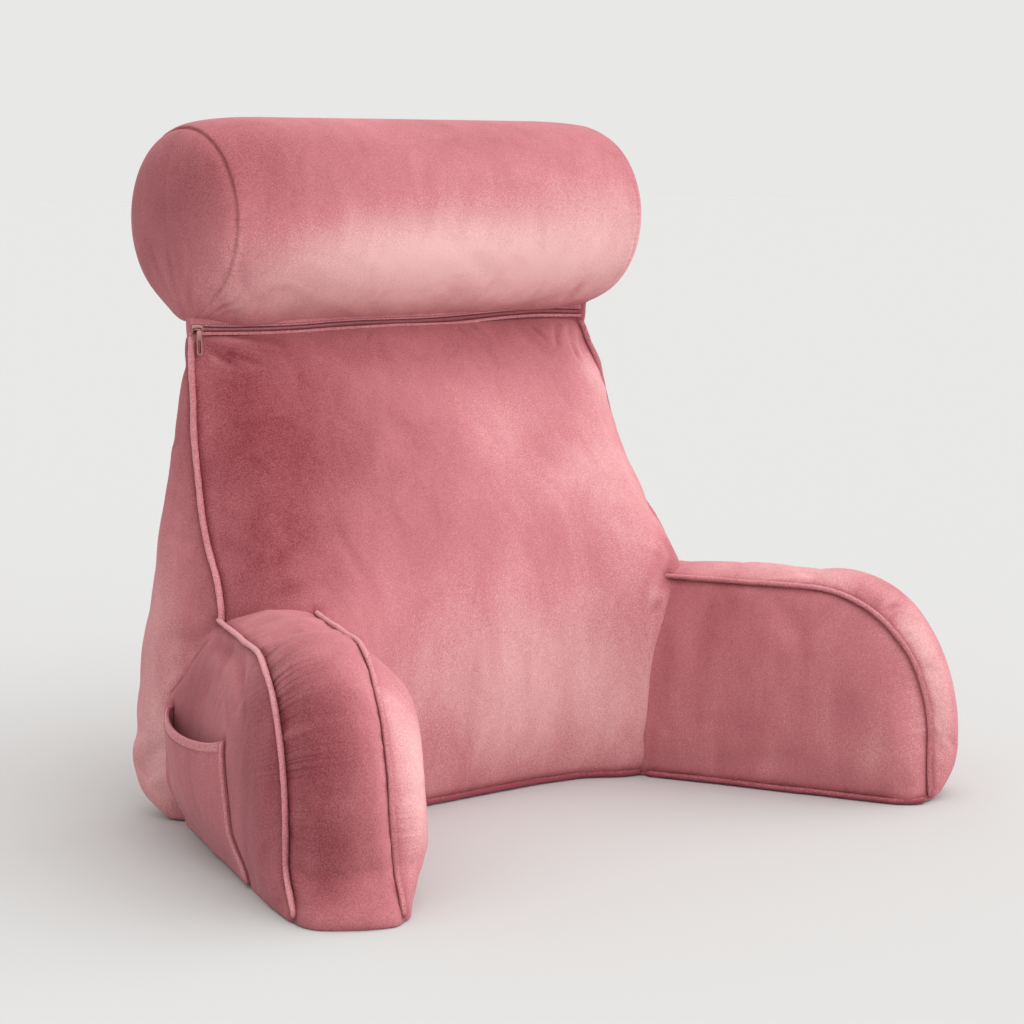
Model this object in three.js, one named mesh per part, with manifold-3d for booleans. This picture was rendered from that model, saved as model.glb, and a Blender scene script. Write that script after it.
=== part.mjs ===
// Reading pillow with arms: a wedge backrest, two splayed arms, a zipped-on neck roll and a side pocket.
// Units are millimetres, +Z is up, the sitter faces -Y, and +X is on the right of someone facing the pillow.
// The cloth bodies are filled solids, lofted through closed sections; cords, tapes and metal lie on them.

import * as THREE from 'three';
import { mergeVertices } from 'three/addons/utils/BufferGeometryUtils.js';
import Module from 'manifold-3d';

const wasm = await Module();
wasm.setup();

// ---- Driving dimensions -------------------------------------------------------------------------

const SEAM_GAP = 0.4; // free space kept between two sewn pieces
const PIPING_RADIUS = 3.0; // covered cord sewn into a seam
const BASE_PIPING_RADIUS = 2.6; // the same cord, flattened at the lower seam
const BASE_PIPING_HEIGHT = 3.3; // middle of the lower cord above the surface
const CORD_SIDES = 8;
const CORD_STEP = 22; // length of one straight stretch of a cord

// Backrest: one row for each level, half widths to the side and depths front to back.
// mid, half and wing lie on the front panel; edge carries the front piping; rear is the back corner.
const HALF_X = 110;
const LEVEL_COLUMNS = ['z', 'midY', 'halfY', 'wingX', 'wingY', 'edgeX', 'edgeY', 'rearX', 'rearY', 'backY'];
const BACKREST_LEVELS = [
  [0, -66, -71, 176, -97, 261, 30, 251, 46, 64],
  [12, -73, -78, 182, -104, 264, 28, 262, 65, 88],
  [40, -81, -86, 188, -108, 266, 20, 267, 84, 108],
  [80, -87, -91, 194, -111, 266, 6, 265, 89, 121],
  [120, -89, -92, 200, -113, 265, -12, 260, 90, 126],
  [160, -87, -89, 206, -113, 264, -33, 256, 87, 125],
  [190, -82, -82, 211, -107, 263, -50, 252, 83, 121],
  [215, -75, -73, 213, -90, 259, -41, 249, 79, 116],
  [250, -62, -59, 212, -62, 254, -17, 247, 73, 107],
  [290, -45, -41, 208, -35, 249, 2, 243, 64, 93],
  [330, -25, -21, 204, -12, 244, 16, 240, 56, 80],
  [370, -3, 1, 200, 10, 239, 25, 236, 51, 69],
  [400, 14, 17, 197, 24, 235, 33, 233, 48, 61],
  [418, 26, 28, 195, 33, 232, 37, 231, 48, 57],
  [427, 36, 37, 194, 39, 229, 41, 228, 50, 54],
].map((row) => Object.fromEntries(LEVEL_COLUMNS.map((name, i) => [name, row[i]])));
const GUSSET = { bulge: 9, fullDepth: 60, leastShare: 0.1, at: 0.45 }; // side between the two seams
// Shares of the way from the rear corner to the middle of the back: across, then front to back.
const REAR_ROUNDING = [{ across: 0.8, depth: 0.42 }, { across: 0.42, depth: 0.86 }];
const BACK_PIPING = { lowest: 193, clearOfRow: 8, aside: 0.6, ahead: 1 };
const BACK_BASE_CORD = { reach: 160, ahead: 1, points: 24, step: 26 };
const FRONT_STEPS = 18;
const REAR_STEPS = 20;

// Arms: each is laid out in its own side view, back = distance behind the front end, up = height.
const ARM_SPLAY = THREE.MathUtils.degToRad(22.4);
const ARM_FRONT_X = 333.5; // middle of the arm's front end
const ARM_FRONT_Y = -325;
const ARM_HALF_WIDTH = 39.5; // from the middle plane to a piped seam
const ARM_SKEW = 10.75; // the inner seam starts this far ahead of the middle, the outer one behind it
const ARM_LENGTH = 400; // back to a pivot hidden in the backrest
const ARM_CURVE_BACK = 112; // the rounded front top corner, half axes of its ellipse
const ARM_CURVE_UP = 127;
const ARM_CURVE_FOOT = 61; // height where the front starts to curve back
const ARM_TURNS = { corner: 0.16, top: 0.6 }; // shares of the outline where the corner and the top begin
const LEAN_HEIGHT = 40; // the front leans back over this height
const NARROW_HEIGHT = 90; // a narrowed arm reaches its full narrowing here
const ARM_BAND_CROWN = { front: 27, top: 13, root: 8 }; // swell of the band between the two seams
const BAND_CHANGES = { topAt: 0.38, topOver: 0.24, rootAt: 0.64, rootOver: 0.2 }; // shares of the outline
const BAND_FLOOR_HEIGHT = 45; // height over which the band fills out from the floor
const BAND_ROUNDNESS = 0.8;
const ARM_PIPING = { start: 0.012, clearOfStart: 0.02, lastTurn: 0.84, proud: 1.2, aboveFloor: 0.5 };
// Side panels: swell beyond the seam plane at the front end, its growth to the back, how soon it rises.
const OUTER_SWELL = {
  front: 12, perLength: 27, peak: 335, end: -16, riseAhead: 62, riseTop: 95, floor: 0.58,
};
const ARM_SHAPES = [
  {
    name: 'arm_left', side: -1, rise: 1.02, tilt: -0.02, leanOuter: 27, leanInner: 20, narrow: 4,
    floorCrown: 0.75,
    outer: OUTER_SWELL,
    inner: { front: 40, perLength: 0, peak: 335, end: 20, riseAhead: 62, riseTop: 46, floor: 0.42 },
    baseCordFrom: 45,
  },
  {
    name: 'arm_right', side: 1, rise: 1.0, tilt: 0, leanOuter: 8, leanInner: 1, narrow: 0, floorCrown: 0.3,
    outer: OUTER_SWELL,
    inner: { front: 26, perLength: 3, peak: 335, end: 20, riseAhead: 30, riseTop: 98, floor: 0.84 },
    baseCordFrom: 8,
  },
];
const BASE_CORD_TO = 262; // the lower seam cord of an arm runs back to the backrest
const BASE_CORD_SHARES = [0, 0.06, 0.2, 0.36, 0.52, 0.68, 0.84, 1];
const SWELL_FLOOR_HEIGHT = 46; // height over which a panel fills out from the floor
const ARM_RIB_TURNS = [
  0, 0.03, 0.065, 0.11, 0.17, 0.23, 0.29, 0.35, 0.41, 0.47, 0.53, 0.58, 0.63, 0.67, 0.71, 0.75, 0.79, 0.84,
  0.91, 1,
];
const ARM_PANEL_STEPS = [0, 0.07, 0.14, 0.21, 0.29, 0.38, 0.5, 0.62, 0.74, 0.84, 0.91, 0.96];
const ARM_BAND_STEPS = [1, 0.72, 0.38, 0, -0.38, -0.72, -1];

// Neck roll: lies along X above the zip; its ends are crowned and its underside is drawn to the zip.
const ROLL_Y = 48;
const ROLL_Z = 526;
const ROLL_RADIUS = 88.5;
const ROLL_SEAM_X = 217; // where the round end panels are sewn in
const ROLL_END_SWELL = 36;
const ROLL_NECK_DROP = 4;
const ROLL_NECK_SPREAD = 0.24; // radians round the underside
const ROLL_SIDES = 30;
const ROLL_SAG = { x: -178, reach: 30, depth: 6, ahead: 0.33, spread: 0.3 }; // where it hangs over the zip
const ROLL_END_STATIONS = [
  { out: 1, radius: 0.16 }, { out: 0.96, radius: 0.4 }, { out: 0.86, radius: 0.62 },
  { out: 0.66, radius: 0.81 }, { out: 0.38, radius: 0.94 }, { out: 0.14, radius: 0.99 },
  { out: 0, radius: 1 },
];
const ROLL_BODY_STATIONS = [0.96, 0.88, 0.78, 0.6, 0.3, 0]; // shares of the half length
const ROLL_SEAM_DRAW = { left: 0.92, right: 0.965 }; // radius at the end seam, as a share of the full one
const ROLL_DRAW_LENGTH = 60; // length over which the roll fills out from its end seam

// Zip: follows the drawn-in underside of the roll, in a slightly wavy line.
const ZIP_LINE = [
  { x: -233, z: 432 }, { x: -190, z: 430 }, { x: -131, z: 429 }, { x: -52, z: 430.5 },
  { x: 45, z: 430 }, { x: 159, z: 434 }, { x: 222, z: 431.5 },
];
const ZIP_Y = 36.5;
const ZIP_COIL_RADIUS = 1.7;
const ZIP_FLAP = { low: 2.3, high: 9.5, front: -2.2, thick: 2.4 }; // heights above the zip line
const ZIP_LIP = { low: -5.2, high: -2.3, front: -1.8, thick: 3.0 };
const ZIP_TAPE = { reach: 12, inner: 0.25, back: 2.3, thick: 1.2 };
const ZIP_STEPS = 14;
const ZIP_EDGE_ROUNDING = { most: 0.7, share: 0.3 };
const SLIDER = {
  at: 0.011, length: 12, height: 8.5, thick: 4.2, nose: 0.62, shoulder: 0.2, plate: 1.4, bevel: 0.3,
};
const SLIDER_CLEARANCE = 0.35;
// Bridge of the slider: shares of the half length along it, and how far each point stands out.
const BRIDGE = {
  wire: 0.8, foot: 1.2, step: 2, rearFoot: -0.6, rearTop: -0.45, frontTop: 0.25, frontFoot: 0.45,
};
const PULL = {
  length: 23, width: 6, thick: 1.6, hole: 2.2, drop: 3, aside: 1, sunk: 0.2, head: 0.8, roundSteps: 6,
};
const PULL_SLOT = { at: 0.42, topRadius: 1.3, footRadius: 1.5, rim: 0.6 };

// Pocket: a patch on the outer side of the left arm, hemmed at its mouth.
const POCKET = {
  backFront: 140, backRear: 314, footFront: 112, footRear: 300, top: 112, topRear: 103, foot: 4,
};
const POCKET_THICKNESS = 2.2;
const POCKET_SINK = 4; // how deep the sewn margin is trimmed against the arm
const POCKET_BELLY = 17; // how far the mouth stands off the arm
const POCKET_HEM = { height: 9, extra: 1.0 };
const POCKET_FULLNESS = { power: 0.8, soon: 1.15 }; // how roundly and how soon the belly rises
const POCKET_MOUTH_DIP = 7; // the middle of the mouth hangs below its ends
const POCKET_COLUMNS = 14;
const POCKET_ROWS = 9;

const VELVET = 0xb86a70;
const VELVET_LIGHT = 0xc67c80;
const TAPE = 0x8e4a54;
const METAL = 0xb08a7c;

// ---- Solids, cuts and small curves --------------------------------------------------------------

function solidFrom(geometry) {
  const plain = geometry.clone();
  for (const name of Object.keys(plain.attributes)) {
    if (name !== 'position') plain.deleteAttribute(name);
  }
  const merged = mergeVertices(plain, 1e-3);
  const index = merged.index.array;
  const kept = [];
  for (let i = 0; i < index.length; i += 3) {
    const [a, b, c] = [index[i], index[i + 1], index[i + 2]];
    if (a !== b && b !== c && c !== a) kept.push(a, b, c);
  }
  const vertProperties = new Float32Array(merged.attributes.position.array);
  return new wasm.Manifold(new wasm.Mesh({ numProp: 3, vertProperties, triVerts: new Uint32Array(kept) }));
}

function geometryFrom(solid) {
  const mesh = solid.getMesh();
  const geometry = new THREE.BufferGeometry();
  geometry.setAttribute('position', new THREE.BufferAttribute(new Float32Array(mesh.vertProperties), 3));
  geometry.setIndex(new THREE.BufferAttribute(new Uint32Array(mesh.triVerts), 1));
  geometry.computeVertexNormals();
  return geometry;
}

function swollen(solid, by) {
  const geometry = geometryFrom(solid);
  const place = geometry.attributes.position;
  const normal = geometry.attributes.normal;
  for (let i = 0; i < place.count; i += 1) {
    place.setXYZ(
      i,
      place.getX(i) + normal.getX(i) * by,
      place.getY(i) + normal.getY(i) * by,
      place.getZ(i) + normal.getZ(i) * by,
    );
  }
  return solidFrom(geometry);
}

// What is left of a solid after the cuts; slivers that a cut parts from it are dropped.
function without(solid, ...cutters) {
  const left = cutters.reduce((rest, cutter) => rest.subtract(cutter), solid);
  return left.decompose().reduce((largest, body) => (body.volume() > largest.volume() ? body : largest));
}

// End of a loft, closed by a fan round the middle of its section.
function fanEnd(points, faces, first, around, turn) {
  const middle = new THREE.Vector3();
  for (let j = 0; j < around; j += 1) middle.addScaledVector(points[first + j], 1 / around);
  points.push(middle);
  for (let j = 0; j < around; j += 1) {
    const [a, b] = [first + j, first + ((j + 1) % around)];
    faces.push(points.length - 1, turn ? a : b, turn ? b : a);
  }
}

// End of a sheet, closed from its outer face straight across to its inner face.
function sheetEnd(points, faces, first, around, turn) {
  for (let j = 0; j < around / 2 - 1; j += 1) {
    const [a, b] = [first + j, first + j + 1];
    const [c, d] = [first + around - 2 - j, first + around - 1 - j];
    if (turn) faces.push(a, b, c, a, c, d);
    else faces.push(a, c, b, a, d, c);
  }
}

// Closed body through a row of closed sections, with both ends closed.
function lofted(sections, closeEnd = fanEnd) {
  const around = sections[0].length;
  const points = sections.flat();
  const faces = [];
  for (let i = 0; i < sections.length - 1; i += 1) {
    for (let j = 0; j < around; j += 1) {
      const next = (j + 1) % around;
      const [a, b] = [i * around + j, i * around + next];
      const [c, d] = [a + around, b + around];
      faces.push(a, b, d, a, d, c);
    }
  }
  closeEnd(points, faces, 0, around, false);
  closeEnd(points, faces, (sections.length - 1) * around, around, true);
  const geometry = new THREE.BufferGeometry().setFromPoints(points);
  geometry.setIndex(faces);
  const solid = solidFrom(geometry);
  return solid.volume() > 0 ? solid : solidFrom(turnedInsideOut(geometry));
}

function turnedInsideOut(geometry) {
  const index = geometry.index.array;
  for (let i = 0; i < index.length; i += 3) [index[i], index[i + 1]] = [index[i + 1], index[i]];
  return geometry;
}

// Round cord along a list of points.
function cord(points, radius, step = CORD_STEP) {
  const path = new THREE.CatmullRomCurve3(points, false, 'centripetal');
  const section = new THREE.Shape();
  for (let k = 0; k < CORD_SIDES; k += 1) {
    const angle = (k / CORD_SIDES) * 2 * Math.PI;
    const [u, v] = [radius * Math.cos(angle), radius * Math.sin(angle)];
    if (k === 0) section.moveTo(u, v);
    else section.lineTo(u, v);
  }
  section.closePath();
  const steps = Math.max(2, Math.round(path.getLength() / step));
  return solidFrom(new THREE.ExtrudeGeometry(section, { steps, bevelEnabled: false, extrudePath: path }));
}

function mix(from, to, share) {
  return from + (to - from) * share;
}

function eased(share) {
  const s = THREE.MathUtils.clamp(share, 0, 1);
  return s * s * (3 - 2 * s);
}

// Quarter-circle rise from 0 to 1, as filled cloth leaves a seam.
function puffed(share) {
  const s = THREE.MathUtils.clamp(share, 0, 1);
  return Math.sqrt(1 - (1 - s) ** 2);
}

// ---- Backrest -----------------------------------------------------------------------------------

// One row of the level table at any height, mixed from the rows below and above it.
function levelAt(z) {
  const rows = BACKREST_LEVELS;
  const last = rows.length - 1;
  const clamped = THREE.MathUtils.clamp(z, rows[0].z, rows[last].z);
  let low = 0;
  while (low < last - 1 && rows[low + 1].z < clamped) low += 1;
  const share = (clamped - rows[low].z) / (rows[low + 1].z - rows[low].z);
  const level = { z: clamped };
  for (const key of Object.keys(rows[0])) {
    if (key !== 'z') level[key] = mix(rows[low][key], rows[low + 1][key], share);
  }
  return level;
}

function frontCurve(level) {
  const side = (sign) => [
    new THREE.Vector3(sign * level.edgeX, level.edgeY, level.z),
    new THREE.Vector3(sign * level.wingX, level.wingY, level.z),
    new THREE.Vector3(sign * HALF_X, level.halfY, level.z),
  ];
  const middle = new THREE.Vector3(0, level.midY, level.z);
  return new THREE.CatmullRomCurve3([...side(-1), middle, ...side(1).reverse()], false, 'centripetal');
}

function rearCurve(level) {
  const depth = level.rearY - level.edgeY;
  const swell = GUSSET.bulge * THREE.MathUtils.clamp(depth / GUSSET.fullDepth, GUSSET.leastShare, 1);
  const side = (sign) => [
    new THREE.Vector3(sign * level.edgeX, level.edgeY, level.z),
    new THREE.Vector3(sign * (level.edgeX + swell), mix(level.edgeY, level.rearY, GUSSET.at), level.z),
    new THREE.Vector3(sign * level.rearX, level.rearY, level.z),
    ...REAR_ROUNDING.map(({ across, depth: share }) => {
      return new THREE.Vector3(sign * level.rearX * across, mix(level.rearY, level.backY, share), level.z);
    }),
  ];
  const middle = new THREE.Vector3(0, level.backY, level.z);
  return new THREE.CatmullRomCurve3([...side(1), middle, ...side(-1).reverse()], false, 'centripetal');
}

function backrestSection(level) {
  const front = frontCurve(level).getPoints(FRONT_STEPS).slice(0, -1);
  const rear = rearCurve(level).getPoints(REAR_STEPS).slice(0, -1);
  return [...front, ...rear];
}

const backrestBody = lofted(BACKREST_LEVELS.map(backrestSection));
const backrestReach = swollen(backrestBody, SEAM_GAP);

function backPipingRoute(sign, lowest) {
  const rows = BACKREST_LEVELS.map((row) => row.z).filter((z) => z > lowest + BACK_PIPING.clearOfRow);
  const heights = [lowest, ...rows];
  return heights.map((z) => {
    const level = levelAt(z);
    return new THREE.Vector3(sign * (level.edgeX + BACK_PIPING.aside), level.edgeY - BACK_PIPING.ahead, z);
  });
}

// ---- Arms ---------------------------------------------------------------------------------------

// The arm's outline in its side view: up the front, round the corner and back along the top.
function armOutline(turn, arm, across) {
  let back;
  let up;
  let outward;
  if (turn < ARM_TURNS.corner) {
    back = 0;
    up = (turn / ARM_TURNS.corner) * ARM_CURVE_FOOT;
    outward = [-1, 0];
  } else if (turn < ARM_TURNS.top) {
    const angle = ((turn - ARM_TURNS.corner) / (ARM_TURNS.top - ARM_TURNS.corner)) * 0.5 * Math.PI;
    back = ARM_CURVE_BACK * (1 - Math.cos(angle));
    up = ARM_CURVE_FOOT + ARM_CURVE_UP * Math.sin(angle);
    outward = [-Math.cos(angle), Math.sin(angle)];
  } else {
    back = mix(ARM_CURVE_BACK, ARM_LENGTH, (turn - ARM_TURNS.top) / (1 - ARM_TURNS.top));
    up = ARM_CURVE_FOOT + ARM_CURVE_UP;
    outward = [0, 1];
  }
  return { ...shapedArmPoint(back, up, arm, across), outward };
}

// Lean and rise of one arm, applied to a point of the plain side view.
function shapedArmPoint(back, up, arm, across) {
  const lean = mix(arm.leanInner, arm.leanOuter, (across + 1) / 2);
  const ahead = Math.max(0, 1 - back / ARM_LENGTH);
  return {
    back: back + ahead * (lean * eased(up / LEAN_HEIGHT) + ARM_SKEW * across),
    up: up * (arm.rise + arm.tilt * across),
  };
}

// How far a side panel stands off its seam plane at a point of the plain side view.
function panelSwell(back, up, swell) {
  const sine = THREE.MathUtils.clamp((up - ARM_CURVE_FOOT) / ARM_CURVE_UP, 0, 1);
  const frontHere = ARM_CURVE_BACK * (1 - Math.sqrt(1 - sine * sine));
  const cosine = THREE.MathUtils.clamp(1 - back / ARM_CURVE_BACK, 0, 1);
  const topHere = ARM_CURVE_FOOT + ARM_CURVE_UP * Math.sqrt(1 - cosine * cosine);
  const grown = swell.front + swell.perLength * Math.min(back / swell.peak, 1);
  const past = eased((back - swell.peak) / (ARM_LENGTH - swell.peak));
  const height = mix(grown, swell.end, past);
  const floor = mix(swell.floor, 1, eased(up / SWELL_FLOOR_HEIGHT));
  const below = THREE.MathUtils.clamp((topHere - up) / swell.riseTop, 0, 1);
  return height * floor * puffed((back - frontHere) / swell.riseAhead) * Math.sin(0.5 * Math.PI * below);
}

function armPlace(arm, back, aside, up) {
  const x = ARM_FRONT_X - back * Math.sin(ARM_SPLAY) + aside * Math.cos(ARM_SPLAY);
  const y = ARM_FRONT_Y + back * Math.cos(ARM_SPLAY) + aside * Math.sin(ARM_SPLAY);
  return new THREE.Vector3(arm.side * x, y, up);
}

// Point on a side panel: across is 1 on the outer panel and -1 on the inner one.
function panelPlace(arm, back, up, across, standOff = 0) {
  const swell = panelSwell(back, up, across > 0 ? arm.outer : arm.inner);
  const shaped = shapedArmPoint(back, up, arm, across);
  return armPlace(arm, shaped.back, seamAside(arm, up, across) + across * (swell + standOff), shaped.up);
}

// Distance of a seam from the arm's middle plane; the inner seam of a narrowed arm leans inwards.
function seamAside(arm, up, across) {
  const drawn = across < 0 ? arm.narrow * eased(up / NARROW_HEIGHT) : 0;
  return across * (ARM_HALF_WIDTH - drawn);
}

// Point on the band: across runs from 1 at the outer seam to -1 at the inner one.
function bandPlace(arm, turn, across) {
  const edge = armOutline(turn, arm, across);
  const { front, top, root } = ARM_BAND_CROWN;
  const overTop = mix(front, top, eased((turn - BAND_CHANGES.topAt) / BAND_CHANGES.topOver));
  const fill = mix(overTop, root, eased((turn - BAND_CHANGES.rootAt) / BAND_CHANGES.rootOver));
  const fromFloor = mix(arm.floorCrown, 1, puffed(edge.up / BAND_FLOOR_HEIGHT));
  const crown = fill * fromFloor * (1 - across * across) ** BAND_ROUNDNESS;
  return armPlace(
    arm,
    edge.back + edge.outward[0] * crown,
    seamAside(arm, edge.up, across),
    edge.up + edge.outward[1] * crown,
  );
}

function plainOutline(turn) {
  return armOutline(turn, { leanInner: 0, leanOuter: 0, rise: 1, tilt: 0, narrow: 0 }, 0);
}

function armSection(arm, turn) {
  const rim = plainOutline(turn);
  const panel = (across) => ARM_PANEL_STEPS.map((share) => {
    return panelPlace(arm, mix(ARM_LENGTH, rim.back, share), rim.up * share, across);
  });
  const band = ARM_BAND_STEPS.map((across) => bandPlace(arm, turn, across));
  return [...panel(1), ...band, ...panel(-1).reverse()];
}

function seamRoute(arm, across) {
  const { start, clearOfStart, lastTurn, proud, aboveFloor } = ARM_PIPING;
  const turns = [start, ...ARM_RIB_TURNS.filter((turn) => turn > clearOfStart && turn < lastTurn), lastTurn];
  return turns.map((turn) => {
    const edge = armOutline(turn, arm, across);
    const back = edge.back + edge.outward[0] * proud;
    const up = Math.max(edge.up + edge.outward[1] * proud, PIPING_RADIUS + aboveFloor);
    return armPlace(arm, back, seamAside(arm, edge.up, across) + across * proud, up);
  });
}

// ---- Pieces -------------------------------------------------------------------------------------

const pieces = [];

function addPiece(name, solid, color, roughness = 0.85, metalness = 0) {
  const material = new THREE.MeshStandardMaterial({ color, roughness, metalness });
  const mesh = new THREE.Mesh(geometryFrom(solid), material);
  mesh.name = name;
  pieces.push(mesh);
}

// Piping down the two front edges of the backrest, from the zip to the arms.
const backPipings = [-1, 1].map((sign) => {
  const route = backPipingRoute(sign, BACK_PIPING.lowest);
  return {
    name: sign < 0 ? 'piping_back_left' : 'piping_back_right',
    solid: cord(route, PIPING_RADIUS),
    reach: cord(route, PIPING_RADIUS + SEAM_GAP),
  };
});

// Lower seam cord under the front panel of the backrest.
const backBaseRoute = frontCurve(levelAt(BASE_PIPING_HEIGHT)).getSpacedPoints(BACK_BASE_CORD.points)
  .filter((point) => Math.abs(point.x) < BACK_BASE_CORD.reach)
  .map((point) => point.clone().add(new THREE.Vector3(0, -BACK_BASE_CORD.ahead, 0)));
const backBase = {
  solid: cord(backBaseRoute, BASE_PIPING_RADIUS, BACK_BASE_CORD.step),
  reach: cord(backBaseRoute, BASE_PIPING_RADIUS + SEAM_GAP, BACK_BASE_CORD.step),
};

const arms = ARM_SHAPES.map((arm) => {
  const sections = ARM_RIB_TURNS.map((turn) => armSection(arm, turn));
  const outer = seamRoute(arm, 1);
  const inner = seamRoute(arm, -1);
  const base = BASE_CORD_SHARES.map((share) => {
    return panelPlace(arm, mix(arm.baseCordFrom, BASE_CORD_TO, share), BASE_PIPING_HEIGHT, -1, 1);
  });
  return {
    arm,
    body: lofted(sections),
    outer: cord(outer, PIPING_RADIUS),
    outerReach: cord(outer, PIPING_RADIUS + SEAM_GAP),
    inner: cord(inner, PIPING_RADIUS),
    innerReach: cord(inner, PIPING_RADIUS + SEAM_GAP),
    base: cord(base, BASE_PIPING_RADIUS),
    baseReach: cord(base, BASE_PIPING_RADIUS + SEAM_GAP),
  };
});

// Neck roll.
function rollSection(x, radius) {
  const drawn = THREE.MathUtils.clamp(radius / ROLL_RADIUS, 0, 1) ** 3;
  const points = [];
  for (let k = 0; k < ROLL_SIDES; k += 1) {
    const angle = (k / ROLL_SIDES) * 2 * Math.PI;
    const fromUnderside = Math.atan2(Math.sin(angle), Math.cos(angle));
    const drop = ROLL_NECK_DROP * drawn * Math.exp(-((fromUnderside / ROLL_NECK_SPREAD) ** 2));
    const sag = ROLL_SAG.depth * Math.exp(-(((x - ROLL_SAG.x) / ROLL_SAG.reach) ** 2))
      * Math.exp(-(((fromUnderside - ROLL_SAG.ahead) / ROLL_SAG.spread) ** 2));
    const reach = radius + drop + sag;
    points.push(new THREE.Vector3(x, ROLL_Y - reach * Math.sin(angle), ROLL_Z - reach * Math.cos(angle)));
  }
  return points;
}

function rollSections() {
  const half = (sign, seamDraw) => [
    ...ROLL_END_STATIONS.map(({ out, radius }) => {
      return rollSection(sign * (ROLL_SEAM_X + ROLL_END_SWELL * out), ROLL_RADIUS * seamDraw * radius);
    }),
    ...ROLL_BODY_STATIONS.map((share) => {
      const fill = puffed((ROLL_SEAM_X * (1 - share)) / ROLL_DRAW_LENGTH);
      return rollSection(sign * ROLL_SEAM_X * share, ROLL_RADIUS * mix(seamDraw, 1, fill));
    }),
  ];
  return [...half(-1, ROLL_SEAM_DRAW.left), ...half(1, ROLL_SEAM_DRAW.right).slice(0, -1).reverse()];
}

const rollBody = lofted(rollSections());

// Zip pieces: strips and a coil that follow the same wavy line.
const zipCurve = new THREE.CatmullRomCurve3(
  ZIP_LINE.map(({ x, z }) => new THREE.Vector3(x, ZIP_Y, z)),
  false,
  'centripetal',
);

function zipStrip(low, high, front, thick, grow = 0) {
  const sections = [];
  for (let i = 0; i <= ZIP_STEPS; i += 1) {
    const point = zipCurve.getPointAt(i / ZIP_STEPS);
    const x = point.x + (i === 0 ? -grow : 0) + (i === ZIP_STEPS ? grow : 0);
    const [y0, y1] = [ZIP_Y + front - grow, ZIP_Y + front + thick + grow];
    const [z0, z1] = [point.z + low - grow, point.z + high + grow];
    const round = Math.min(ZIP_EDGE_ROUNDING.most, ZIP_EDGE_ROUNDING.share * (high - low));
    sections.push([
      new THREE.Vector3(x, y0, z0 + round),
      new THREE.Vector3(x, y0 + round, z0),
      new THREE.Vector3(x, y1, z0),
      new THREE.Vector3(x, y1, z1),
      new THREE.Vector3(x, y0 + round, z1),
      new THREE.Vector3(x, y0, z1 - round),
    ]);
  }
  return lofted(sections);
}

function zipPiece(strip) {
  return {
    solid: zipStrip(strip.low, strip.high, strip.front, strip.thick),
    reach: zipStrip(strip.low, strip.high, strip.front, strip.thick, SEAM_GAP),
  };
}

const flap = zipPiece(ZIP_FLAP);
const lip = zipPiece(ZIP_LIP);
const tape = { front: ZIP_TAPE.back, thick: ZIP_TAPE.thick };
const upperTape = zipPiece({ low: ZIP_TAPE.inner, high: ZIP_TAPE.reach, ...tape });
const lowerTape = zipPiece({ low: -ZIP_TAPE.reach, high: -ZIP_TAPE.inner, ...tape });
const coil = cord(zipCurve.getSpacedPoints(ZIP_STEPS), ZIP_COIL_RADIUS);

// Slider: a wedge-nosed body with a bridge, and a long pull with an eye.
const sliderPoint = zipCurve.getPointAt(SLIDER.at);
const sliderY = ZIP_Y - ZIP_COIL_RADIUS - SLIDER_CLEARANCE;

function sliderBody() {
  const half = SLIDER.length / 2;
  const tall = SLIDER.height / 2;
  const plate = new THREE.Shape();
  plate.moveTo(-half, -tall);
  plate.lineTo(half * SLIDER.shoulder, -tall);
  plate.lineTo(half, -tall * SLIDER.nose);
  plate.lineTo(half, tall * SLIDER.nose);
  plate.lineTo(half * SLIDER.shoulder, tall);
  plate.lineTo(-half, tall);
  plate.closePath();
  const { plate: depth, bevel } = SLIDER;
  const edge = { bevelEnabled: true, bevelThickness: bevel, bevelSize: bevel, bevelSegments: 1 };
  const geometry = new THREE.ExtrudeGeometry(plate, { depth, ...edge });
  geometry.rotateX(Math.PI / 2);
  geometry.translate(sliderPoint.x, sliderY - SLIDER.bevel, sliderPoint.z);
  const bridgePoint = (share, out) => {
    return new THREE.Vector3(sliderPoint.x + half * share, sliderY - out, sliderPoint.z);
  };
  const bridge = cord([
    bridgePoint(BRIDGE.rearFoot, BRIDGE.foot),
    bridgePoint(BRIDGE.rearTop, SLIDER.thick),
    bridgePoint(BRIDGE.frontTop, SLIDER.thick),
    bridgePoint(BRIDGE.frontFoot, BRIDGE.foot),
  ], BRIDGE.wire, BRIDGE.step);
  return solidFrom(geometry).add(bridge);
}

function pullTab() {
  const round = PULL.width / 2;
  const outline = new THREE.Shape();
  outline.absarc(0, 0, round * PULL.head, 0, Math.PI, false);
  outline.absarc(0, -PULL.length + round, round, Math.PI, 2 * Math.PI, false);
  const hole = new THREE.Path();
  hole.absarc(0, 0, PULL.hole / 2, 0, 2 * Math.PI, true);
  const slot = new THREE.Path();
  slot.absarc(0, -PULL.length * PULL_SLOT.at, PULL_SLOT.topRadius, 0, Math.PI, false);
  slot.absarc(0, -PULL.length + round + PULL_SLOT.rim, PULL_SLOT.footRadius, Math.PI, 2 * Math.PI, false);
  outline.holes.push(hole, slot);
  const edge = { bevelEnabled: false, curveSegments: PULL.roundSteps };
  const geometry = new THREE.ExtrudeGeometry(outline, { depth: PULL.thick, ...edge });
  geometry.rotateX(Math.PI / 2);
  const depth = sliderY - SLIDER.thick + PULL.sunk;
  geometry.translate(sliderPoint.x - PULL.aside, depth, sliderPoint.z - PULL.drop);
  return solidFrom(geometry);
}

const slider = sliderBody();
const sliderReach = swollen(slider, SEAM_GAP);

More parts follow.
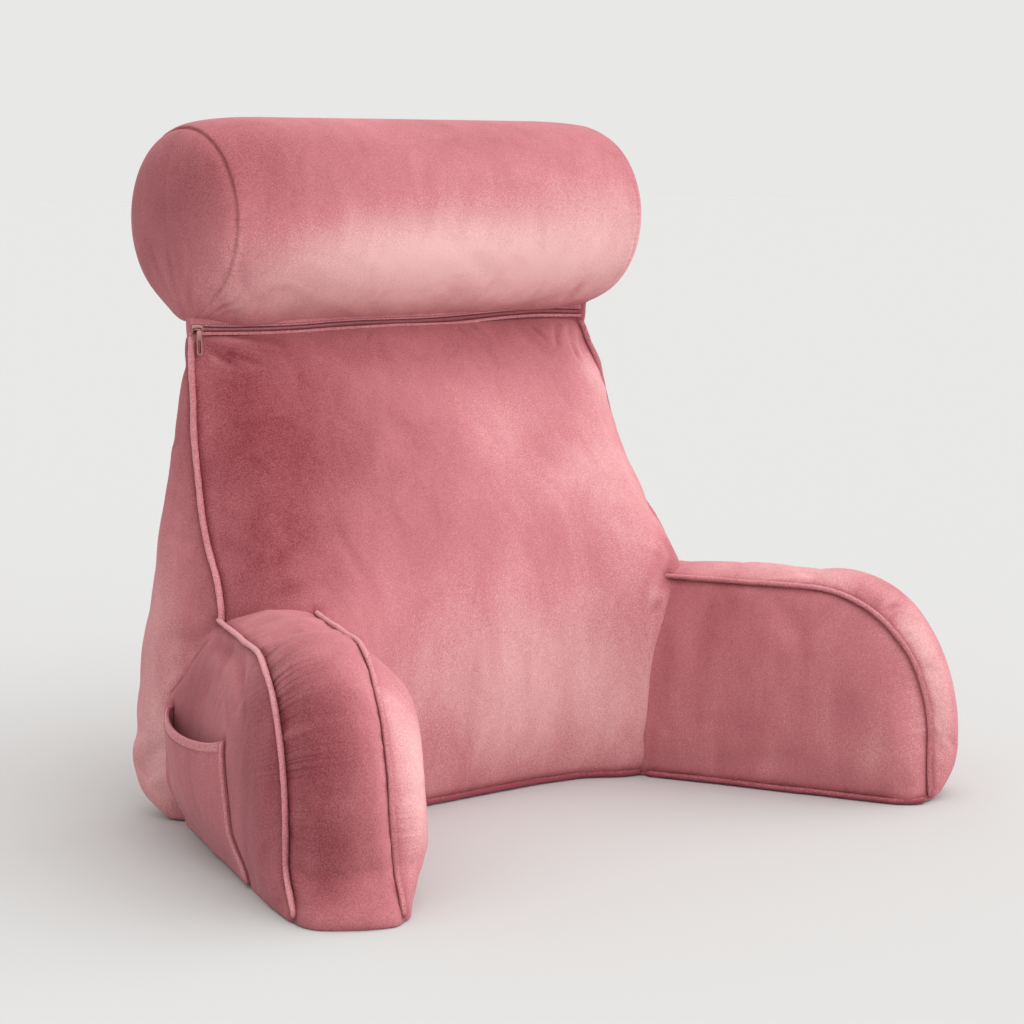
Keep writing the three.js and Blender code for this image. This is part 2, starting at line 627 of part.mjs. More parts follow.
// Pocket: the sheet follows the outer panel and bellies out towards its mouth.
function pocketBelly(across, upShare) {
  const { power, soon } = POCKET_FULLNESS;
  return POCKET_BELLY * (Math.sin(Math.PI * across) * eased(upShare * soon)) ** power;
}

function pocketPlace(across, upShare, standOff) {
  const front = mix(POCKET.footFront, POCKET.backFront, eased(upShare));
  const rear = mix(POCKET.footRear, POCKET.backRear, upShare);
  const back = mix(front, rear, across);
  const top = mix(POCKET.top, POCKET.topRear, across) - POCKET_MOUTH_DIP * Math.sin(Math.PI * across);
  return panelPlace(ARM_SHAPES[0], back, mix(POCKET.foot, top, upShare), 1, standOff);
}

function pocketSheet() {
  const sheet = [];
  for (let row = 0; row <= POCKET_ROWS; row += 1) {
    const upShare = row / POCKET_ROWS;
    const hem = (1 - upShare) * POCKET.top < POCKET_HEM.height ? POCKET_HEM.extra : 0;
    const outer = [];
    const inner = [];
    for (let column = 0; column <= POCKET_COLUMNS; column += 1) {
      const across = column / POCKET_COLUMNS;
      const belly = pocketBelly(across, upShare);
      const sunk = POCKET_SINK * Math.max(0, 1 - belly / POCKET_SINK);
      outer.push(pocketPlace(across, upShare, belly + SEAM_GAP + POCKET_THICKNESS + hem));
      inner.push(pocketPlace(across, upShare, belly - sunk));
    }
    sheet.push([...outer, ...inner.reverse()]);
  }
  return lofted(sheet, sheetEnd);
}

// ---- Assembly -----------------------------------------------------------------------------------

const [leftPiping, rightPiping] = backPipings;
const armReaches = arms.map(({ outerReach, innerReach, baseReach }) => [outerReach, innerReach, baseReach]);

addPiece('backrest', without(
  backrestBody, leftPiping.reach, rightPiping.reach, backBase.reach, lip.reach, lowerTape.reach, sliderReach,
), VELVET);

arms.forEach(({ arm, body }, i) => {
  const beside = [backrestReach, backBase.reach, leftPiping.reach, rightPiping.reach];
  const solid = without(body, ...beside, ...armReaches[i]);
  addPiece(arm.name, solid, VELVET);
});

addPiece('neck_roll', without(rollBody, flap.reach, upperTape.reach, sliderReach), VELVET);

for (const { name, solid } of backPipings) {
  addPiece(name, without(solid, lip.reach, lowerTape.reach, sliderReach), VELVET_LIGHT);
}

arms.forEach(({ arm, outer, inner, base, innerReach }) => {
  const ends = [backrestReach, leftPiping.reach, rightPiping.reach];
  addPiece(`piping_${arm.name}_outer`, without(outer, ...ends), VELVET_LIGHT);
  addPiece(`piping_${arm.name}_inner`, without(inner, ...ends), VELVET_LIGHT);
  const lower = without(base, backrestReach, backBase.reach, innerReach);
  addPiece(`base_piping_${arm.name}`, lower, VELVET_LIGHT);
});
addPiece('base_piping_back', backBase.solid, VELVET_LIGHT);

const leftArmReach = swollen(arms[0].body, SEAM_GAP);
addPiece('pocket', without(pocketSheet(), leftArmReach, backrestReach), VELVET_LIGHT);

addPiece('zip_flap', without(flap.solid, sliderReach), VELVET_LIGHT);
addPiece('zip_lip', without(lip.solid, sliderReach), VELVET_LIGHT);
addPiece('zip_tape_upper', upperTape.solid, TAPE, 0.7);
addPiece('zip_tape_lower', lowerTape.solid, TAPE, 0.7);
addPiece('zip_coil', without(coil, sliderReach), TAPE, 0.45);
addPiece('zip_slider', slider, METAL, 0.35, 0.9);
addPiece('zip_pull', without(pullTab(), sliderReach), METAL, 0.35, 0.9);

const group = new THREE.Group();
group.name = 'reading_pillow';
group.add(...pieces);

// The origin is the middle of the footprint, on the surface that the pillow stands on.
const whole = new THREE.Box3().setFromObject(group);
const middle = whole.getCenter(new THREE.Vector3());
group.position.set(-middle.x, -middle.y, -whole.min.z);

export default group;
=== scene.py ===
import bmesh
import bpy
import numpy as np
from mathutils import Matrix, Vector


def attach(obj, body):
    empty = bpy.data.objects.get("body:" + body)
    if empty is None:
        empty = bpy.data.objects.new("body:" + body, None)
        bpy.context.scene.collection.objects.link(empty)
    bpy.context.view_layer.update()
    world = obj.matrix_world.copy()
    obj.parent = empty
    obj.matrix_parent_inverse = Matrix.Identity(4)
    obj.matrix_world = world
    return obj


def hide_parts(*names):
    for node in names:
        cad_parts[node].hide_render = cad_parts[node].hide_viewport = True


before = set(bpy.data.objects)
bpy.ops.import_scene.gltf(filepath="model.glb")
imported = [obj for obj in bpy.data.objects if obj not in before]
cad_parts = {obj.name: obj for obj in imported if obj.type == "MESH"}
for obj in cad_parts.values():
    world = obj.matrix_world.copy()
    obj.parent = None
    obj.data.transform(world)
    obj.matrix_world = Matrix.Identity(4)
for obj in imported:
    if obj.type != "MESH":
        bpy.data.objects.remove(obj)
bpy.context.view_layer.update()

# %% [markdown]
# # A velvet reading pillow with arms
# The frame that was just loaded holds the solids of the pillow, in metres, with +Z up. Every cloth piece is
# made again here as a finer surface in the same place, filled by a short cloth simulation, and given its
# nap with painted light and shade.

SEED = 7

# %% [markdown]
# ## Placing points
# The pillow was laid out in millimetres round a point in the sitter's seat. The frame has its origin in the
# middle of the footprint, so every layout point is moved by one fixed offset and turned to metres.

# %% The offset, and small curves that the pieces share
SHIFT = np.array([-0.159, 109.519, 0.0])
MM = 0.001


def placed(points):
    """Layout point plus the offset, times a thousandth."""
    return (np.asarray(points, float) + SHIFT) * MM


def mix(start, end, share):
    """Straight mix: start plus share times the difference."""
    return start + (end - start) * share


def eased(share):
    """Smooth step: 3 s squared minus 2 s cubed, with s held between 0 and 1."""
    s = np.clip(share, 0, 1)
    return s * s * (3 - 2 * s)


def puffed(share):
    """Quarter circle: the square root of 1 minus (1 - s) squared."""
    s = np.clip(share, 0, 1)
    return np.sqrt(1 - (1 - s) ** 2)


def bell(gap, width):
    """Bell curve: exp of minus (gap over width) squared."""
    return np.exp(-(gap / width) ** 2)


def smooth_rows(table, at):
    """Cubic curve through the rows of a table; a row's slope is the weighted mean of those beside it."""
    x, y = table[:, 0], table[:, 1:]
    gap = np.diff(x)[:, None]
    rise = np.diff(y, axis=0) / gap
    between = (rise[:-1] * gap[1:] + rise[1:] * gap[:-1]) / (gap[1:] + gap[:-1])
    slope = np.vstack([rise[:1], between, rise[-1:]])
    low = np.clip(np.searchsorted(x, at, side="right") - 1, 0, len(x) - 2)
    h = gap[low]
    s = (at - x[low])[:, None] / h
    return ((1 + 2 * s) * (1 - s) ** 2 * y[low] + s * (1 - s) ** 2 * h * slope[low]
            + s * s * (3 - 2 * s) * y[low + 1] + s * s * (s - 1) * h * slope[low + 1])


def curve_through(points, counts):
    """Centripetal curve through points [..., k, d]: cubics, their slopes weighed by the roots of the gaps."""
    first = 2 * points[..., :1, :] - points[..., 1:2, :]
    last = 2 * points[..., -1:, :] - points[..., -2:-1, :]
    p = np.concatenate([first, points, last], axis=-2)
    parts = []
    for k, count in enumerate(counts):
        a, b, c, d = (p[..., k + i, :][..., None, :] for i in range(4))
        g0, g1, g2 = (np.maximum(np.linalg.norm(v - u, axis=-1, keepdims=True), 1e-6) ** 0.5
                      for u, v in ((a, b), (b, c), (c, d)))
        t1 = ((b - a) / g0 - (c - a) / (g0 + g1) + (c - b) / g1) * g1
        t2 = ((c - b) / g1 - (d - b) / (g1 + g2) + (d - c) / g2) * g1
        s = (np.arange(count) / count)[:, None]
        parts.append(b + t1 * s + (3 * (c - b) - 2 * t1 - t2) * s ** 2 + (2 * (b - c) + t1 + t2) * s ** 3)
    return np.concatenate(parts, axis=-2)


def wandering(length, gap, seed):
    """Smooth random line: one random value each gap, joined by a cubic, given as a function of distance."""
    rng = np.random.default_rng(SEED + seed)
    knots = np.arange(-2, int(length / gap) + 4) * gap
    table = np.column_stack([knots, rng.uniform(-1, 1, len(knots))])

    def line(at):
        """Value of the line at each distance."""
        held = np.clip(np.ravel(at), knots[0], knots[-1])
        return smooth_rows(table, held)[:, 0].reshape(np.shape(at))

    return line


print("layout offset, mm", SHIFT)

# %% [markdown]
# ## From a grid of points to a piece
# A sewn body is a grid of points: its rows run along the body and its columns run round it. The grid closes
# on itself, and each open end is closed by a fan. Everything else, such as a cord or a strip, is the same
# grid.

# %% Grid, tube and strip builders
def piece_from(name, points, faces):
    """New mesh piece from points in metres and the numbers of each face's corners."""
    mesh = bpy.data.meshes.new(name)
    mesh.from_pydata(np.asarray(points).reshape(-1, 3), [], faces)
    piece = bpy.data.objects.new(name, mesh)
    bpy.context.collection.objects.link(piece)
    return piece


def turned_outwards(piece, merge=0.0):
    """Merges doubles closer than merge, turns every face outwards and shades the piece smooth."""
    work = bmesh.new()
    work.from_mesh(piece.data)
    if merge:
        bmesh.ops.remove_doubles(work, verts=work.verts, dist=merge)
    bmesh.ops.dissolve_degenerate(work, edges=work.edges, dist=1e-7)
    bmesh.ops.recalc_face_normals(work, faces=work.faces)
    work.to_mesh(piece.data)
    work.free()
    piece.data.polygons.foreach_set("use_smooth", [True] * len(piece.data.polygons))
    return piece


def grid_faces(rows, around, wrap=True):
    """Four-sided faces between neighbouring rows and columns."""
    i, j = np.meshgrid(np.arange(rows - 1), np.arange(around if wrap else around - 1), indexing="ij")
    k = (j + 1) % around
    here, following = i * around, (i + 1) * around
    return np.stack([here + j, here + k, following + k, following + j], -1).reshape(-1, 4)


def closed_body(name, grid, fans=True, merge=0.0, attributes=None):
    """Closed piece from a grid [rows, around, 3] in metres. With fans, each end ring is joined to its middle.
    Without, the end rings are already drawn together to a line, and merging their doubles closes them."""
    rows, around = grid.shape[:2]
    points = grid.reshape(-1, 3)
    faces = grid_faces(rows, around).tolist()
    if fans:
        points = np.vstack([points, grid[0].mean(0), grid[-1].mean(0)])
        for tip, start, step in ((rows * around, 0, 1), (rows * around + 1, (rows - 1) * around, -1)):
            ring = start + np.arange(around)
            pair = [np.roll(ring, -1), ring][::step]
            faces += np.column_stack([np.full(around, tip), *pair]).tolist()
    piece = piece_from(name, points, faces)
    for key, values in (attributes or {}).items():
        flat = np.append(values.ravel(), [values[0].mean(), values[-1].mean()] if fans else [])
        piece.data.attributes.new(key, "FLOAT", "POINT").data.foreach_set("value", flat.astype(np.float32))
    return turned_outwards(piece, merge)


def open_edges(piece):
    """Number of edges that don't have exactly two faces: 0 on a closed piece."""
    work = bmesh.new()
    work.from_mesh(piece.data)
    loose = sum(len(edge.link_faces) != 2 for edge in work.edges)
    work.free()
    return loose


def tube_grid(path, radius, sides, flat=1.0):
    """Circle carried along a path: rings lie square to it, each turned as little as it can from the last."""
    path = np.asarray(path, float)
    ahead = np.gradient(path, axis=0)
    ahead /= np.linalg.norm(ahead, axis=1, keepdims=True)
    up = np.zeros_like(path)
    side = np.cross(ahead[0], [0.3, 0.2, 1.0])
    for i, a in enumerate(ahead):  # one step for each ring, not for each vertex
        side = side - a * (side @ a)
        side /= np.linalg.norm(side)
        up[i] = side
    other = np.cross(ahead, up)
    turn = np.linspace(0, 2 * np.pi, sides, endpoint=False)
    reach = np.broadcast_to(np.asarray(radius, float), (len(path),))[:, None, None]
    cosine, sine = np.cos(turn)[:, None], np.sin(turn)[:, None]
    return path[:, None] + reach * (up[:, None] * cosine + flat * other[:, None] * sine)


def evenly(path, step):
    """The same path with its points at equal steps, and how far along it each of them is."""
    path = np.asarray(path, float)
    run = np.concatenate([[0], np.cumsum(np.linalg.norm(np.diff(path, axis=0), axis=1))])
    at = np.linspace(0, run[-1], max(3, int(round(run[-1] / step)) + 1))
    return np.column_stack([np.interp(at, run, path[:, k]) for k in range(3)]), at


def read_points(piece):
    """Places and normals of the piece's vertices as arrays."""
    n = len(piece.data.vertices)
    place, normal = np.empty(n * 3), np.empty(n * 3)
    piece.data.vertices.foreach_get("co", place)
    piece.data.vertex_normals.foreach_get("vector", normal)
    return place.reshape(-1, 3), normal.reshape(-1, 3)


def write_points(piece, place):
    """Puts the places back into the mesh."""
    piece.data.vertices.foreach_set("co", np.asarray(place, float).ravel())
    piece.data.update()


def read_value(piece, key):
    """One float attribute of the piece's vertices as an array."""
    values = np.empty(len(piece.data.vertices), np.float32)
    piece.data.attributes[key].data.foreach_get("value", values)
    return values


print("builders ready")

# %% [markdown]
# ## Filling a sewn cover
# A pillow's panels are cut a little larger than the space between their seams, so the filling pushes them
# out and they pucker along the stitches. Blender's cloth does the same: the seams are pinned, the rest of
# the sheet is made one per cent too large, and air pressure fills it. A limit on how far a point may move
# keeps the pattern's shape.

# %% Cloth filling, with pinned seams
FRAMES = 20


def filled(piece, pinned, looser, pressure, most, stiff=8.0, bend=0.35):
    """Twenty frames of pressure cloth; each point's travel d is limited to most times tanh(d / most)."""
    group = piece.vertex_groups.new(name="seams")
    weights = np.clip(pinned, 0, 1)
    for value in np.unique(np.round(weights, 1)):
        chosen = np.flatnonzero(np.round(weights, 1) == value)
        if value > 0:
            group.add(chosen.tolist(), float(value), "REPLACE")
    before, _ = read_points(piece)
    cloth = piece.modifiers.new("fill", "CLOTH")
    wanted = {
        "vertex_group_mass": "seams", "quality": 5, "mass": 0.2, "use_pressure": True,
        "uniform_pressure_force": pressure, "shrink_min": -looser, "tension_stiffness": stiff,
        "compression_stiffness": stiff, "shear_stiffness": stiff * 0.4, "bending_stiffness": bend,
        "air_damping": 4.0,
    }
    for key, value in wanted.items():
        setattr(cloth.settings, key, value)
    cloth.settings.effector_weights.gravity = 0.0
    cloth.collision_settings.use_collision = False
    cloth.point_cache.frame_start, cloth.point_cache.frame_end = 1, FRAMES
    for step in range(1, FRAMES + 1):
        bpy.context.scene.frame_set(step)
    held = piece.evaluated_get(bpy.context.evaluated_depsgraph_get())
    after = np.empty(len(before) * 3)
    held.data.vertices.foreach_get("co", after)
    travel = after.reshape(-1, 3) - before
    size = np.maximum(np.linalg.norm(travel, axis=1, keepdims=True), 1e-9)
    piece.modifiers.remove(cloth)
    bpy.context.scene.frame_set(1)
    write_points(piece, before + travel * (most * np.tanh(size / most) / size))
    far, usual = size.max() / MM, size.mean() / MM
    print(f"{piece.name}: filled, furthest {far:.1f} mm before the limit, mean {usual:.2f} mm")
    return piece


def subdivided(piece):
    """Each face is cut in four and smoothed, and the result becomes the piece's own mesh."""
    finer = piece.modifiers.new("finer", "SUBSURF")
    finer.levels = finer.render_levels = 1
    mesh = bpy.data.meshes.new_from_object(piece.evaluated_get(bpy.context.evaluated_depsgraph_get()))
    piece.modifiers.remove(finer)
    old, piece.data = piece.data, mesh
    mesh.name = piece.name
    bpy.data.meshes.remove(old)
    return piece


def pressed(place, normal, table):
    """Creases: each row is a line from a to b in mm with a depth and a width. A point at distance d sinks by
    depth times exp(-(d / width) squared), one at twice the width rises a little, and the ends fade out."""
    moved = np.zeros(len(place))
    for ax, ay, az, bx, by, bz, depth, width in table:
        a, b = np.array([ax, ay, az]) * MM, np.array([bx, by, bz]) * MM
        near = np.linalg.norm(place - (a + b) / 2, axis=1) < np.linalg.norm(b - a) / 2 + 6 * width * MM
        p = place[near]
        along = (p - a) @ (b - a) / ((b - a) @ (b - a))
        off = np.linalg.norm(p - (a + np.clip(along, 0, 1)[:, None] * (b - a)), axis=1) / (width * MM)
        fade = eased(np.minimum(along, 1 - along) / 0.35 + 0.25)
        moved[near] += depth * MM * fade * (0.4 * np.exp(-(off - 2) ** 2) - np.exp(-off ** 2))
    return moved[:, None] * normal


# %% [markdown]
# ## The backrest
# On the real pillow the backrest is a wedge: a front panel, two side gussets that run over the rear corners
# into the back, and a flat base. One row of the table gives the half widths and depths of the section at a
# height. The rows are joined by a smooth curve, which is how a pattern cutter would draw the side seams.

# %% Backrest table and surface
# z, mid y, half y, wing x, wing y, edge x, edge y, rear x, rear y, back y, all in mm
BACKREST_LEVELS = np.array([
    [0, -66, -71, 176, -97, 261, 30, 251, 46, 64],
    [12, -73, -78, 182, -104, 264, 28, 262, 65, 88],
    [40, -81, -86, 188, -108, 266, 20, 267, 84, 108],
    [80, -87, -91, 194, -111, 266, 6, 265, 89, 121],
    [120, -89, -92, 200, -113, 265, -12, 260, 90, 126],
    [160, -87, -89, 206, -113, 264, -33, 256, 87, 125],
    [190, -82, -82, 211, -107, 263, -50, 252, 83, 121],
    [215, -75, -73, 213, -90, 259, -41, 249, 79, 116],
    [250, -62, -59, 212, -62, 254, -17, 247, 73, 107],
    [290, -45, -41, 208, -35, 249, 2, 243, 64, 93],
    [330, -25, -21, 204, -12, 244, 16, 240, 56, 80],
    [370, -3, 1, 200, 10, 239, 25, 236, 51, 69],
    [400, 14, 17, 197, 24, 235, 33, 233, 48, 61],
    [418, 26, 28, 195, 33, 232, 37, 231, 48, 57],
    [427, 36, 37, 194, 39, 229, 41, 228, 50, 54],
], float)
HALF_X = 110
GUSSET_BULGE, GUSSET_DEPTH = 9, 60
FRONT_COUNTS = [17, 13, 18, 18, 13, 17]
REAR_COUNTS = [8, 8, 9, 17, 19, 19, 17, 9, 8, 8]
BACK_ROWS = 78
NECK_DRAW = dict(pull=11, height=418, spread=32)
EDGE_ROLL = dict(over=4.5, columns=13, low=236, high=392)
RIGHT_FORWARD = np.array([0.766, -0.643])  # level direction to the right and a little forwards


def drawn_neck(points):
    """The right upper corner is pulled in under the roll: x shrinks by a bell of the height."""
    x, z = points[..., 0], points[..., 2]
    pull = NECK_DRAW["pull"] * bell(z - NECK_DRAW["height"], NECK_DRAW["spread"])
    moved = points.copy()
    moved[..., 0] = x - pull * eased((x - 140) / 80)
    return moved


def edge_window(z):
    """One between the arm and the neck, falling softly to nothing at both."""
    return eased((z - EDGE_ROLL["low"]) / 30) * eased((EDGE_ROLL["high"] - z) / 40)


def section_points(level):
    """Section of the backrest at each height: the front panel from left to right, then round the back."""
    z, mid, half, wing_x, wing_y, edge_x, edge_y, rear_x, rear_y, back_y = level.T
    zero = np.zeros_like(z)
    swell = GUSSET_BULGE * np.clip((rear_y - edge_y) / GUSSET_DEPTH, 0.1, 1)

    def ring(*pairs):
        """The pairs of x and y as neighbouring points at each height."""
        return np.stack([np.stack([x, y, z], -1) for x, y in pairs], axis=1)

    front = ring((-edge_x, edge_y), (-wing_x, wing_y), (zero - HALF_X, half), (zero, mid),
                 (zero + HALF_X, half), (wing_x, wing_y), (edge_x, edge_y))
    side = [(edge_x, edge_y), (edge_x + swell, mix(edge_y, rear_y, 0.45)), (rear_x, rear_y),
            (rear_x * 0.8, mix(rear_y, back_y, 0.42)), (rear_x * 0.42, mix(rear_y, back_y, 0.86))]
    rear = ring(*side, (zero, back_y), *[(-x, y) for x, y in side[::-1]])
    return np.concatenate([curve_through(front, FRONT_COUNTS), curve_through(rear, REAR_COUNTS)], axis=1)


def level_at(z):
    """Rows of the table at any heights."""
    z = np.atleast_1d(np.asarray(z, float))
    return np.column_stack([z, smooth_rows(BACKREST_LEVELS, z)])


def capped(grid, shares_first, shares_last):
    """Adds rows inside each end ring: ring drawn towards its middle by a share."""
    first = [grid[0].mean(0) + (grid[0] - grid[0].mean(0)) * s for s in shares_first]
    last = [grid[-1].mean(0) + (grid[-1] - grid[-1].mean(0)) * s for s in shares_last]
    return np.concatenate([np.array(first), grid, np.array(last)])


BASE_SHARES = [0.06, 0.2, 0.35, 0.5, 0.64, 0.76, 0.86, 0.94]
heights = BACKREST_LEVELS[-1, 0] * np.linspace(0, 1, BACK_ROWS)
rows_of_back = drawn_neck(section_points(level_at(heights)))
near_seam = np.arange(rows_of_back.shape[1]) - (sum(FRONT_COUNTS) - EDGE_ROLL["columns"])
roll_over = EDGE_ROLL["over"] * np.sin(np.pi * np.clip(near_seam / EDGE_ROLL["columns"], 0, 1))
rows_of_back[..., :2] += (edge_window(heights)[:, None] * roll_over)[..., None] * RIGHT_FORWARD
back_grid = capped(rows_of_back, BASE_SHARES, [0.9, 0.6, 0.25])
seam_columns = np.zeros(back_grid.shape[:2])
seam_columns[:, [0, sum(FRONT_COUNTS)]] = 1
backrest = closed_body("backrest_cover", placed(back_grid), attributes={"seam": seam_columns})
print("backrest cover", len(backrest.data.polygons), "faces,", open_edges(backrest), "open edges")

# %% [markdown]
# ## The arms
# An arm is two shaped side panels with a band between them, and a cord is sewn into each seam. It is laid
# out in its own side view, with a distance behind the front end and a height, and its ribs fan out from a
# pivot that is hidden in the backrest. The two arms differ a little, as two arms filled by hand do.

# %% Arm layout
ARM_SPLAY = np.radians(22.4)
ARM_FRONT = (333.5, -325.0)
ARM_HALF_WIDTH, ARM_SKEW, ARM_LENGTH = 39.5, 10.75, 400.0
CURVE_BACK, CURVE_UP, CURVE_FOOT = 112.0, 127.0, 61.0
CORNER_TURN, TOP_TURN = 0.16, 0.6
BAND_CROWN = {"front": 27, "top": 13, "root": 8}
OUTER_SWELL = dict(front=12, per_length=27, peak=335, end=-16, rise_ahead=62, rise_top=95, floor=0.58)
ARMS = {
    "left": dict(
        side=-1, rise=1.02, tilt=-0.02, lean_outer=27, lean_inner=20, narrow=4, floor_crown=0.75,
        outer=OUTER_SWELL, base_from=45,
        inner=dict(front=40, per_length=0, peak=335, end=20, rise_ahead=62, rise_top=46, floor=0.42)),
    "right": dict(
        side=1, rise=1.0, tilt=0, lean_outer=8, lean_inner=1, narrow=0, floor_crown=0.3,
        outer=OUTER_SWELL, base_from=1,
        inner=dict(front=26, per_length=3, peak=335, end=20, rise_ahead=30, rise_top=98, floor=0.84)),
}
PLAIN_ARM = dict(rise=1, tilt=0, lean_outer=0, lean_inner=0, narrow=0)
SEAM_PROUD, LOWEST_SEAM = 1.2, 3.5


def shaped(back, up, arm, across):
    """Plain side view leaned back by an amount that fades along the arm, and its height scaled."""
    lean = mix(arm["lean_inner"], arm["lean_outer"], (across + 1) / 2)
    ahead = np.maximum(0, 1 - back / ARM_LENGTH)
    leaned = back + ahead * (lean * eased(up / 40) + ARM_SKEW * across)
    return leaned, up * (arm["rise"] + arm["tilt"] * across)


def outline(turn, arm, across):
    """Side view outline: straight up the front, a quarter ellipse round the corner, straight back on top."""
    angle = np.clip((turn - CORNER_TURN) / (TOP_TURN - CORNER_TURN), 0, 1) * np.pi / 2
    on_front, on_top = turn < CORNER_TURN, turn >= TOP_TURN
    back = np.where(on_front, 0, CURVE_BACK * (1 - np.cos(angle)))
    back = np.where(on_top, mix(CURVE_BACK, ARM_LENGTH, (turn - TOP_TURN) / (1 - TOP_TURN)), back)
    up = np.where(on_front, turn / CORNER_TURN * CURVE_FOOT, CURVE_FOOT + CURVE_UP * np.sin(angle))
    out_back, out_up = -np.cos(angle), np.sin(angle)
    back, up = shaped(back, up, arm, across)
    return back, up, out_back, out_up


def panel_swell(back, up, swell):
    """Stand-off of a side panel: a quarter circle behind the front seam times a sine below the top seam."""
    sine = np.clip((up - CURVE_FOOT) / CURVE_UP, 0, 1)
    front_here = CURVE_BACK * (1 - np.sqrt(1 - sine * sine))
    cosine = np.clip(1 - back / CURVE_BACK, 0, 1)
    top_here = CURVE_FOOT + CURVE_UP * np.sqrt(1 - cosine * cosine)
    grown = swell["front"] + swell["per_length"] * np.minimum(back / swell["peak"], 1)
    height = mix(grown, swell["end"], eased((back - swell["peak"]) / (ARM_LENGTH - swell["peak"])))
    below = np.clip((top_here - up) / swell["rise_top"], 0, 1)
    rise = puffed((back - front_here) / swell["rise_ahead"]) * np.sin(np.pi / 2 * below)
    return height * mix(swell["floor"], 1, eased(up / 46)) * rise


def arm_place(arm, back, aside, up):
    """Side view to layout: turned by the splay, moved to the arm's front end, mirrored for the left arm."""
    x = ARM_FRONT[0] - back * np.sin(ARM_SPLAY) + aside * np.cos(ARM_SPLAY)
    y = ARM_FRONT[1] + back * np.cos(ARM_SPLAY) + aside * np.sin(ARM_SPLAY)
    return np.stack([arm["side"] * x, y, up + 0 * x], -1)


def seam_aside(arm, up, across):
    """Distance of a seam from the arm's middle plane."""
    return across * (ARM_HALF_WIDTH - np.where(across < 0, arm["narrow"] * eased(up / 90), 0))


def panel_place(arm, back, up, across, off=0.0):
    """Point on the outer panel (across 1) or the inner panel (across -1)."""
    swell = panel_swell(back, up, arm["outer"] if across > 0 else arm["inner"])
    far, high = shaped(back, up, arm, across)
    return arm_place(arm, far, seam_aside(arm, up, across) + across * (swell + off), high)


def band_place(arm, turn, across):
    """Point on the band: the outline pushed out by a crown that is highest between the two seams."""
    back, up, out_back, out_up = outline(turn, arm, across)
    fill = mix(BAND_CROWN["front"], BAND_CROWN["top"], eased((turn - 0.38) / 0.24))
    fill = mix(fill, BAND_CROWN["root"], eased((turn - 0.64) / 0.2))
    crown = fill * mix(arm["floor_crown"], 1, puffed(up / 45)) * (1 - across * across) ** 0.8
    return arm_place(arm, back + out_back * crown, seam_aside(arm, up, across), up + out_up * crown)


def seam_route(arm, across, turn):
    """Line of a piped seam: the outline pushed out and aside by SEAM_PROUD."""
    back, up, out_back, out_up = outline(turn, arm, across)
    high = np.maximum(up + out_up * SEAM_PROUD, LOWEST_SEAM)
    aside = seam_aside(arm, up, across) + across * SEAM_PROUD
    return arm_place(arm, back + out_back * SEAM_PROUD, aside, high)


# %% Arm surfaces
SHOWN_RIBS, HIDDEN_RIBS, PANEL_COLUMNS, BAND_COLUMNS = 96, 14, 64, 34
HIDDEN_FROM = 0.72
ROOT_SHARE = 0.05
RIB_TURNS = np.concatenate([np.linspace(0, HIDDEN_FROM, SHOWN_RIBS),
                            np.linspace(HIDDEN_FROM, 1, HIDDEN_RIBS + 1)[1:]])


def arm_grid(arm):
    """Ribs [turn] by columns: the outer panel out to its seam, over the band, and the inner panel back."""
    turn = RIB_TURNS[:, None]
    share = np.concatenate([[0], np.linspace(ROOT_SHARE, 1, PANEL_COLUMNS)[:-1]])[None]
    rim_back, rim_up, _, _ = outline(turn, PLAIN_ARM, 0.0)
    back, up = mix(ARM_LENGTH, rim_back, share), rim_up * share
    across = np.cos(np.linspace(0, np.pi, BAND_COLUMNS))[None]
    across = mix(across, np.linspace(1, -1, BAND_COLUMNS)[None], 0.7)
    grid = np.concatenate([panel_place(arm, back, up, 1), band_place(arm, turn, across),
                           panel_place(arm, back, up, -1)[:, ::-1]], axis=1)
    offset = np.concatenate([share - 1, (1 - across) / 2, 2 - share[:, ::-1]], axis=1) + 0 * turn
    return grid, np.broadcast_to(turn, grid.shape[:2]), offset


def behind(grid, arm):
    """Distance behind the arm's front end, from the layout: the splay turned back."""
    x, y = arm["side"] * grid[..., 0] - ARM_FRONT[0], grid[..., 1] - ARM_FRONT[1]
    return y * np.cos(ARM_SPLAY) - x * np.sin(ARM_SPLAY)


def laddered(grid, steps):
    """Adds rows that draw the first ring to the line midway between its halves, which closes a flat base."""
    middle = (grid[0] + grid[0][::-1]) / 2
    inner = [middle + (grid[0] - middle) * s for s in np.linspace(0, 1, steps, endpoint=False)]
    return np.concatenate([inner, grid])


def shut(grid, first, last):
    """Both end rings drawn to their middle lines, in the given numbers of rows."""
    return laddered(laddered(grid, first)[::-1], last)[::-1]


BASE_ROWS, ROOT_ROWS = 7, 4
arm_covers = {}
for name, arm in ARMS.items():
    grid, turn, offset = arm_grid(arm)
    grid = shut(grid, BASE_ROWS, ROOT_ROWS)
    pad = ((BASE_ROWS, ROOT_ROWS), (0, 0))
    turn, offset = np.pad(turn, pad, mode="edge"), np.pad(offset, pad, mode="edge")
    turn[:BASE_ROWS] = -1
    arm_covers[name] = closed_body(f"arm_{name}_cover", placed(grid), fans=False, merge=2e-5, attributes={
        "turn": turn.copy(), "offset": offset.copy(), "back": behind(grid, arm)})
    print(arm_covers[name].name, len(arm_covers[name].data.polygons), "faces,",
          open_edges(arm_covers[name]), "open edges")

# %% [markdown]
# ## The neck roll
# The roll is a tube of cloth with a round panel sewn into each end. Its lower side is held by the zip, so
# it is drawn down there. The tube fills out from the end seams, and the end panels swell like shallow
# domes.

